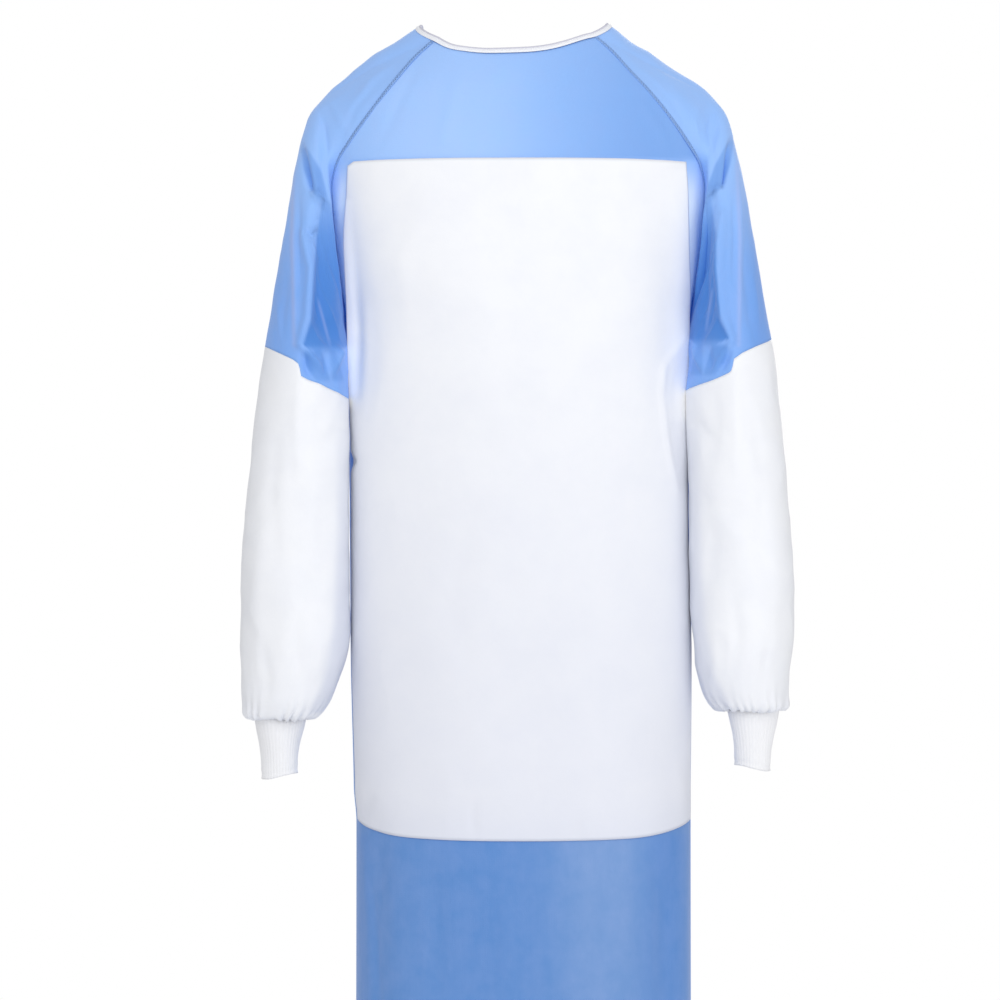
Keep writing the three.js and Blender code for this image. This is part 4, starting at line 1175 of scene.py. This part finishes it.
# Soft creases of the hidden back, in places of the front view
BACK_LINES = creases(
    (-2.6, 12, 0.6, 506, 470, 500, 560, 505, 680),
    (2.6, 12, 0.6, 455, 470, 448, 580, 440, 720),
    (-2.6, 12, 0.6, 425, 500, 420, 640, 412, 800),
    (2.6, 12, 0.6, 590, 480, 598, 600, 604, 760),
    (-2.4, 11, 0.6, 628, 520, 634, 660, 636, 840),
    (3.0, 16, 0.4, 470, 800, 462, 920, 458, 1075),
    (-3.0, 14, 0.6, 500, 760, 503, 900, 500, 1070),
    (3.0, 16, 0.6, 560, 780, 568, 930, 570, 1075),
    (-2.2, 9, 0.6, 395, 130, 410, 190, 418, 260),
    (-2.0, 9, 0.6, 640, 126, 624, 190, 618, 258),
    (1.8, 10, 0.6, 440, 250, 470, 330, 500, 395),
    (1.6, 10, 0.6, 596, 250, 566, 330, 536, 395),
    (-1.6, 7, 0.6, 380, 330, 420, 372, 470, 400),
    (-1.4, 7, 0.6, 656, 336, 616, 376, 566, 402),
)


def make_back(side, name, lift):
    shares = spread((0, 50), (1, 20), (BACK_END, 0))
    plain = back_points(body_heights(), shares, side, lift)
    depth = ripples(plain, *BACK_WAVES) + facets(plain, *BACK_FACETS)
    depth = (depth + lines_field(plain, BACK_LINES)) * smoothstep(shares, 0, 0.12)[None, :]
    make_cloth(f"back_{name}", "blue_cloth", raised(plain, False, depth), plain, False, "hung")


CUFF_RIBS = 38
CUFF_ROWS = 36
CUFF_WALL = 0.0015
CUFF_TUCK = 0.005
CUFF_STRETCH = 0.93
RIB_HEIGHT = 0.0004
ROLL_HEIGHT = 0.0006
DENT_DEPTH = 0.0006
END_FLARE = 0.0013
END_SLANT = 0.0028


def make_cuff(side, name):
    """A rib-knit tube that narrows towards the hand, with a soft rolled end."""
    below = np.linspace(-CUFF_TUCK, CUFF_SECTIONS["below"][-1], CUFF_ROWS)[:, None]
    turn = np.linspace(0, 2 * math.pi, CUFF_RIBS * 7, endpoint=False)[None, :]
    half_width, half_depth = (
        curve(CUFF_SECTIONS, "below", column)(np.maximum(below, 0)) for column in ("half_width", "half_depth")
    )
    share = below / below[-1]
    lean = 0.25 * np.sin(2 * turn + side) * share
    rib = RIB_HEIGHT * np.abs(np.cos(CUFF_RIBS / 2 * (turn + 0.12 * lean))) ** 0.7
    roll = ROLL_HEIGHT * smoothstep(below, 0.062, 0.066) - 0.0005 * smoothstep(below, 0.057, 0.061)
    out = rib + roll + DENT_DEPTH * np.sin(3 * turn + 60 * below + side)
    top = CUFF_TOP - (LEFT_DROP if side < 0 else 0)
    slant = 0.001 * np.sin(2 * turn) - END_SLANT * np.cos(turn) * share
    x = side * (CUFF_ACROSS + (half_width + END_FLARE * share + out) * np.cos(turn)) + CUFF_SHIFT
    y = (half_depth + out) * np.sin(turn) - CUFF_FORWARD
    points = np.stack([x, y, top - below + slant], axis=-1)
    make_cloth(f"cuff_{name}", "knit", points, points, True, "stretched", (), CUFF_STRETCH, CUFF_WALL)


def unit(vectors):
    return vectors / (np.linalg.norm(vectors, axis=-1, keepdims=True) + 1e-12)


def smoothed(values, passes):
    """Evens out a run of vectors, keeping its two ends."""
    values = values.copy()
    for _ in range(passes):
        values[1:-1] = (values[:-2] + 2 * values[1:-1] + values[2:]) / 4
    return values


def close_ends(piece):
    """Fills a tube's open ends and turns every face outwards."""
    work = bmesh.new()
    work.from_mesh(piece.data)
    bmesh.ops.holes_fill(work, edges=[edge for edge in work.edges if edge.is_boundary], sides=0)
    bmesh.ops.recalc_face_normals(work, faces=work.faces)
    work.to_mesh(piece.data)
    work.free()


def section_points(path, out, up, section):
    """A section of (out, up) millimetres carried along a path."""
    section = np.array(section) * MM
    return path[:, None] + section[:, :1] * out[:, None] + section[:, 1:] * up[:, None]


def swept(name, path, out, up, section):
    """A solid strip: a closed section carried along a path, with its ends closed."""
    piece = cloth_mesh(name, section_points(path, out, up, section), True)
    close_ends(piece)
    return piece


def sleeve_top(side):
    """The sleeve's short edge at the neck, from the back to the front, as two rows of points."""
    before = np.linspace(2 * HALF_SLEEVE - NECK_COLUMNS, 2 * HALF_SLEEVE, 12)
    columns = np.concatenate([before, np.linspace(0, NECK_COLUMNS, 12)[1:]])
    return along_rings(sleeve_knots(side, columns), np.array([0, 0.4]))


def neck_edge():
    """The neck's edge from one back's free end round the front to the other's, with its directions."""
    rows = np.array([NECK_EDGE, NECK_EDGE - 0.006])
    runs = [
        back_points(rows, np.linspace(BACK_END, 0, 70), 1, 0.0),
        sleeve_top(1),
        front_points(rows, np.linspace(1, -1, 110)),
        sleeve_top(-1)[:, ::-1],
        back_points(rows, np.linspace(0, BACK_END, 70), -1, OVERLAP_LIFT),
    ]
    both = np.concatenate([runs[0]] + [run[:, 1:] for run in runs[1:]], axis=1)
    path = smoothed(both[0], 4)
    up = unit(smoothed(unit(both[0] - both[1]), 30))
    along = unit(np.gradient(path, axis=0))
    out = unit(np.cross(along, up))
    if np.sum(out * (path - path.mean(axis=0))) < 0:
        out = -out
    return path, out, up


BINDING_SECTION = [
    (0.9, -1.6), (1.4, -0.6), (1.6, 0.6), (1.5, 2.0), (1.1, 2.8), (0.9, 3.1), (1.4, 3.6), (1.5, 4.6),
    (0.9, 5.6), (-0.3, 6.0), (-1.6, 5.8), (-2.5, 4.9), (-2.7, 3.4), (-2.6, 1.0), (-2.3, -1.2), (-2.0, -1.6),
]
RIM_START = 3.3
RIM_INSIDE = -2


def make_binding():
    """A folded strip over the neck's edge, with a rolled rim and a stitched lower lip."""
    path, out, up = neck_edge()
    # The rolled rim is marked for its painted shade
    rim = [float(height > RIM_START and side > RIM_INSIDE) for side, height in BINDING_SECTION]
    points = section_points(path, out, up, BINDING_SECTION)
    piece = cloth_mesh("neck_binding_cloth", points, False, {"rim": np.tile(rim, (len(path), 1))})
    dress(piece, "binding", "neck_binding")
    line_path = path + out * 1.7 * MM + up * 1.0 * MM
    dress(make_stitches("neck_binding_stitches", line_path, out, 2.6, 1.5, 0.22), "binding")


def walked(path):
    """How far along a path each of its points lies."""
    return np.concatenate([[0], np.cumsum(np.linalg.norm(np.diff(path, axis=0), axis=1))])


def read_along(path, values, places):
    """A path's values, read at distances along it."""
    return np.stack([np.interp(places, walked(path), values[:, axis]) for axis in range(3)], axis=-1)


# A stitch's five-sided rings: how far along it each lies and how wide it is
STITCH_RINGS = ((0.0, 0.35), (0.25, 1.0), (0.75, 1.0), (1.0, 0.35))
STITCH_SIDES = 5
STITCH_DIP = 0.15


def make_stitches(name, path, normals, length, gap, radius):
    """A run of separate straight stitches along a path, in millimetres."""
    path = settled(path)
    around = np.arange(STITCH_SIDES) * 2 * math.pi / STITCH_SIDES
    shares = np.array([share for share, _ in STITCH_RINGS])
    vertices, faces = [], []
    for start in np.arange(0, walked(path)[-1] - length * MM, (length + gap) * MM):
        places = start + shares * length * MM
        centres, normal = read_along(path, path, places), unit(read_along(path, normals, places))
        across = unit(np.cross(centres[-1] - centres[0], normal))
        first = len(vertices)
        for centre, up, aside, (_, size) in zip(centres, normal, across, STITCH_RINGS):
            dip = -STITCH_DIP * MM if size < 1 else 0.0
            for angle in around:
                spoke = (math.cos(angle) * aside + math.sin(angle) * up) * radius * size * MM
                vertices.append(centre + spoke + up * dip)
        for ring in range(len(STITCH_RINGS) - 1):
            for k in range(STITCH_SIDES):
                a = first + ring * STITCH_SIDES + k
                b = first + ring * STITCH_SIDES + (k + 1) % STITCH_SIDES
                faces.append((a, b, b + STITCH_SIDES, a + STITCH_SIDES))
        last = first + (len(STITCH_RINGS) - 1) * STITCH_SIDES
        faces.append(tuple(first + k for k in reversed(range(STITCH_SIDES))))
        faces.append(tuple(last + k for k in range(STITCH_SIDES)))
    return smooth_mesh(name, [tuple(vertex) for vertex in vertices], faces)


def body_normal(angle, height):
    """The body's outward direction at a place of its face."""
    across = body_point(angle + 0.5, height) - body_point(angle - 0.5, height)
    down = body_point(angle, height - 0.001) - body_point(angle, height + 0.001)
    normal = unit(np.cross(across, down))
    place = body_point(angle, height)
    outward = place[..., 0] * normal[..., 0] + place[..., 1] * normal[..., 1]
    return normal * np.sign(outward)[..., None]


SEAM_SECTION = [(-0.5, -2.1), (0.5, -1.9), (0.9, -1.1), (0.75, 0), (0.9, 1.1), (0.5, 1.9), (-0.5, 2.1)]
ZIGZAG_STEP = 0.0017
ZIGZAG_SPAN = 0.0016
THREAD_RADIUS = 0.24
THREAD_OUT = 0.95
THREAD_TURNS = [k * math.pi / 2.5 for k in range(5)]
THREAD_SECTION = [(THREAD_RADIUS * math.cos(turn), THREAD_RADIUS * math.sin(turn)) for turn in THREAD_TURNS]


def make_seam(name, path, normals):
    """A narrow raised seam with an overlock thread zigzagging over it."""
    along = unit(np.gradient(path, axis=0))
    aside = unit(np.cross(along, normals))
    dress(swept(f"{name}_band", path, normals, aside, SEAM_SECTION), "blue_cloth", finish="seam")
    stops = np.arange(0, walked(path)[-1], ZIGZAG_STEP)
    place, out, across, ahead = (read_along(path, values, stops) for values in (path, normals, aside, along))
    swing = np.where(np.arange(len(stops)) % 2 == 0, 1.0, -1.0)[:, None] * ZIGZAG_SPAN
    thread_path = place + out * THREAD_OUT * MM + across * swing
    thread = swept(f"{name}_thread", thread_path, unit(out), unit(ahead), THREAD_SECTION)
    dress(thread, "blue_cloth", finish="thread")


RAGLAN_SPAN = (NECK_EDGE - 0.002, UNDERARM + 0.012)
SIDE_SPAN = (UNDERARM - 0.006, HEM + 0.001)
SIDE_SLIM = (0.6, 0.7)


def make_raglan_seams():
    height = np.linspace(*RAGLAN_SPAN, 150)
    for side, name in SIDES:
        for face in ("front", "back"):
            angle = side * seam_angle(face, height)
            path = smoothed(body_point(angle, height), 3)
            make_seam(f"raglan_seam_{face}_{name}", path, body_normal(angle, height))


def make_side_seams():
    section = [(out * SIDE_SLIM[0], up * SIDE_SLIM[1]) for out, up in SEAM_SECTION]
    height = np.linspace(*SIDE_SPAN, 220)
    for side, name in SIDES:
        angle = np.full(height.shape, side * 90.0)
        aside = np.tile([0.0, 1.0, 0.0], (len(height), 1))
        normals = body_normal(angle, height)
        band = swept(f"side_seam_{name}", body_point(angle, height), normals, aside, section)
        dress(band, "blue_cloth", finish="seam")


HEM_STITCHES = np.array([HEM + 0.022])


def make_hem_stitches():
    runs = [("front", front_points(HEM_STITCHES, np.linspace(-1, 1, 240)))]
    for (side, name), lift in zip(SIDES, (0.0, OVERLAP_LIFT)):
        runs.append((f"back_{name}", back_points(HEM_STITCHES, np.linspace(0, BACK_END, 160), side, lift)))
    for name, (path,) in runs:
        along = unit(np.gradient(path, axis=0))
        out = unit(np.cross(along, [0, 0, 1]))
        out = out * np.sign(np.sum(out * path * np.array([1, 1, 0]), axis=-1, keepdims=True))
        sewn = make_stitches(f"hem_stitches_{name}", path + out * 0.3 * MM, out, 3.4, 2.0, 0.25)
        dress(sewn, "blue_cloth", finish="thread")


TIE_START, TIE_END = 97.0, 177.4
TIE_HALF_HEIGHT = 0.013
TIE_OUT = 0.0023
TIE_PINCH = 0.45
TIE_PLEAT = 0.0007
STEP_UP = (132.0, 152.0)
KNOT_SIZE = (0.016, 0.007, 0.014)
KNOT_POWER = 0.62
KNOT_POLE = 0.04
KNOT_GROOVE = 0.07
KNOT_TWIST = 0.03
TAILS = (("left", -0.008, -0.020, 0.190), ("right", 0.008, 0.030, 0.225))
TAIL_TOP_WIDTH, TAIL_WIDTH = 0.013, 0.025
TAIL_OUT = 0.0024
TAIL_GAP = 0.0004


STRIP_WALL = 0.0013


def make_tie(side, name):
    """A folded strip round the back, pleated where it runs into the knot."""
    share = np.linspace(0, 1, 130)[None, :]
    across = np.linspace(1, -1, 25)[:, None]
    angle = mix(TIE_START, TIE_END, share)
    pinch = 1 - (1 - TIE_PINCH) * smoothstep(share, 0.5, 1.0)
    start, end = STEP_UP if side > 0 else (90.0, 180.0 - OVERLAP_ANGLE - OVERLAP_MARGIN)
    lift = OVERLAP_LIFT * smoothstep(angle, start, end)
    height = WAIST_TIE + TIE_HALF_HEIGHT * across * pinch + 0.0008 * np.sin(9 * share + side)
    points = body_point(side * angle + 0 * across, height, lift + TIE_OUT + 0 * across)
    pleats = TIE_PLEAT * np.cos(across * 9 + side) * smoothstep(share, 0.55, 1.0)
    rolled = -0.0005 * smoothstep(np.abs(across), 0.86, 1.0) + 0.0002 * np.cos(across * math.pi * 3)
    points = raised(points, False, pleats + rolled + ripples(points, *TIE_WAVES))
    rests_on = [f"back_{name}_cloth"]
    make_cloth(f"tie_{name}", "tie_cloth", points, points, False, "laid", rests_on, wall=STRIP_WALL)


def rounded(value, power=KNOT_POWER):
    return np.sign(value) * np.abs(value) ** power


def make_knot():
    """The knot's wrapped turns, as a rounded block with slanting grooves."""
    middle = body_point(180.0, WAIST_TIE, OVERLAP_LIFT + 0.0008 + KNOT_SIZE[1])
    polar = np.linspace(KNOT_POLE, math.pi - KNOT_POLE, 48)[:, None]
    turn = np.linspace(0, 2 * math.pi, 96, endpoint=False)[None, :]
    girth = rounded(np.sin(polar))
    wraps = 1 - KNOT_GROOVE * np.abs(np.sin(2.5 * polar + 0.8 * np.sin(turn))) ** 0.5
    wraps = wraps + KNOT_TWIST * np.sin(7 * turn + 5 * polar)
    x = KNOT_SIZE[0] * girth * rounded(np.cos(turn)) * wraps
    y = KNOT_SIZE[1] * girth * rounded(np.sin(turn)) * wraps
    z = KNOT_SIZE[2] * rounded(np.cos(polar)) + 0 * turn
    points = middle + np.stack([x, y, z], axis=-1)
    piece = cloth_mesh("tie_knot_cloth", points, True)
    close_ends(piece)
    dress(piece, "tie_cloth", "tie_knot")


def make_tail(name, start, lean, length):
    """A free end of a tie, hanging from the knot down the upper back."""
    share = np.linspace(0, 1, 90)[:, None]
    across = np.linspace(-0.5, 0.5, 17)[None, :]
    height = WAIST_TIE - KNOT_SIZE[2] - TAIL_GAP - length * share + 0 * across
    width = mix(TAIL_TOP_WIDTH, TAIL_WIDTH, smoothstep(share, 0, 0.4))
    sideways = start + lean * share + across * width + 0.002 * np.sin(7 * share + start * 90)
    angle = 180 - angle_to(np.abs(sideways), height)
    points = body_point(np.sign(sideways) * angle, height, OVERLAP_LIFT + TAIL_OUT)
    pleats = 0.0006 * np.cos(across * 16) * (1 - smoothstep(share, 0.1, 0.6))
    waves = 0.0005 * np.sin(11 * share + 3 * across) - 0.0004 * np.abs(across)
    points = raised(points, False, pleats + waves)
    make_cloth(f"tie_tail_{name}", "tie_cloth", points, points, False, "hung", wall=STRIP_WALL)


TAB_HEIGHTS = (-0.045, -0.068)
TAB_SHARES = (8 / 9, 11 / 9)
TAB_OUT = 0.0018
TAB_INSET = 3


def make_tab():
    """The closure tab: a small stiff patch with a stitched border."""
    heights = np.linspace(*TAB_HEIGHTS, 24)
    shares = np.linspace(*TAB_SHARES, 60)
    points = back_points(heights, shares, -1, OVERLAP_LIFT)
    points = raised(points, False, TAB_OUT + ripples(points, *TAB_WAVES))
    rests_on = ["back_left_cloth"]
    make_cloth("neck_tab", "white_cloth", points, points, False, "laid", rests_on, wall=STRIP_WALL)
    inside = points[TAB_INSET:-TAB_INSET, TAB_INSET:-TAB_INSET]
    ring = np.concatenate([inside[0], inside[:, -1], inside[-1, ::-1], inside[::-1, 0]])
    normals = np.tile(unit(grid_normals(points, False).reshape(-1, 3).mean(axis=0)), (len(ring), 1))
    sewn = make_stitches("neck_tab_stitches", ring + normals * 0.15 * MM, normals, 2.4, 1.4, 0.2)
    dress(sewn, "binding")


FLOOR_RADIUS = 2.0
WORLD_LIGHT = 0.64
LIGHT_AIM = (0, 0, -0.45)
LIGHTS = (
    ("key", (0.0, -3.5, 1.0), 2.6, 45.5),
    ("fill", (1.9, -2.8, -0.5), 2.2, 16.0),
    ("rear", (0.4, 3.2, 0.8), 2.4, 40.0),
)


def make_stage():
    """A pale floor and plain soft light."""
    place = (0, 0, FLOOR)
    bpy.ops.mesh.primitive_circle_add(vertices=96, radius=FLOOR_RADIUS, fill_type="NGON", location=place)
    floor = bpy.context.object
    floor.name = "floor"
    shader = Shader("floor")
    floor.data.materials.append(shader.finish(FLOOR_GREY, 0.9, specular=0.2))
    world = bpy.data.worlds.new("studio")
    bpy.context.scene.world = world
    world.use_nodes = True
    nodes, links = world.node_tree.nodes, world.node_tree.links
    background = nodes["Background"]
    background.inputs["Color"].default_value = colour(1, 1, 1)
    path = nodes.new("ShaderNodeLightPath")
    strength = nodes.new("ShaderNodeMapRange")
    strength.inputs["To Min"].default_value = WORLD_LIGHT
    strength.inputs["To Max"].default_value = 1.0
    links.new(path.outputs["Is Camera Ray"], strength.inputs["Value"])
    links.new(strength.outputs["Result"], background.inputs["Strength"])
    for name, place, size, power in LIGHTS:
        data = bpy.data.lights.new(name, "AREA")
        data.shape = "SQUARE"
        data.size = size
        data.energy = power
        lamp = link(name, data)
        lamp.location = place
        aim = Vector(LIGHT_AIM) - Vector(place)
        lamp.rotation_euler = aim.to_track_quat("-Z", "Y").to_euler()


def make_camera():
    """Square on to the front; the view takes in VIEW_SIZE at the gown's middle plane."""
    data = bpy.data.cameras.new("camera")
    data.angle = 2 * math.atan(VIEW_SIZE / 2 / CAMERA_DISTANCE)
    camera = link("camera", data)
    camera.location = (CAMERA_ACROSS, -CAMERA_DISTANCE, CAMERA_HEIGHT)
    camera.rotation_euler = (math.pi / 2, 0, 0)
    bpy.context.scene.camera = camera


make_camera()
make_stage()
bpy.context.scene.view_settings.view_transform = "Standard"
make_front()
make_panel()
for (side, name), lift in zip(SIDES, (0.0, OVERLAP_LIFT)):
    make_back(side, name, lift)
for side, name in SIDES:
    make_sleeve(side, name)
    make_cuff(side, name)
    make_tie(side, name)
make_binding()
make_tab()
make_knot()
for tail in TAILS:
    make_tail(*tail)
make_raglan_seams()
make_side_seams()
make_hem_stitches()
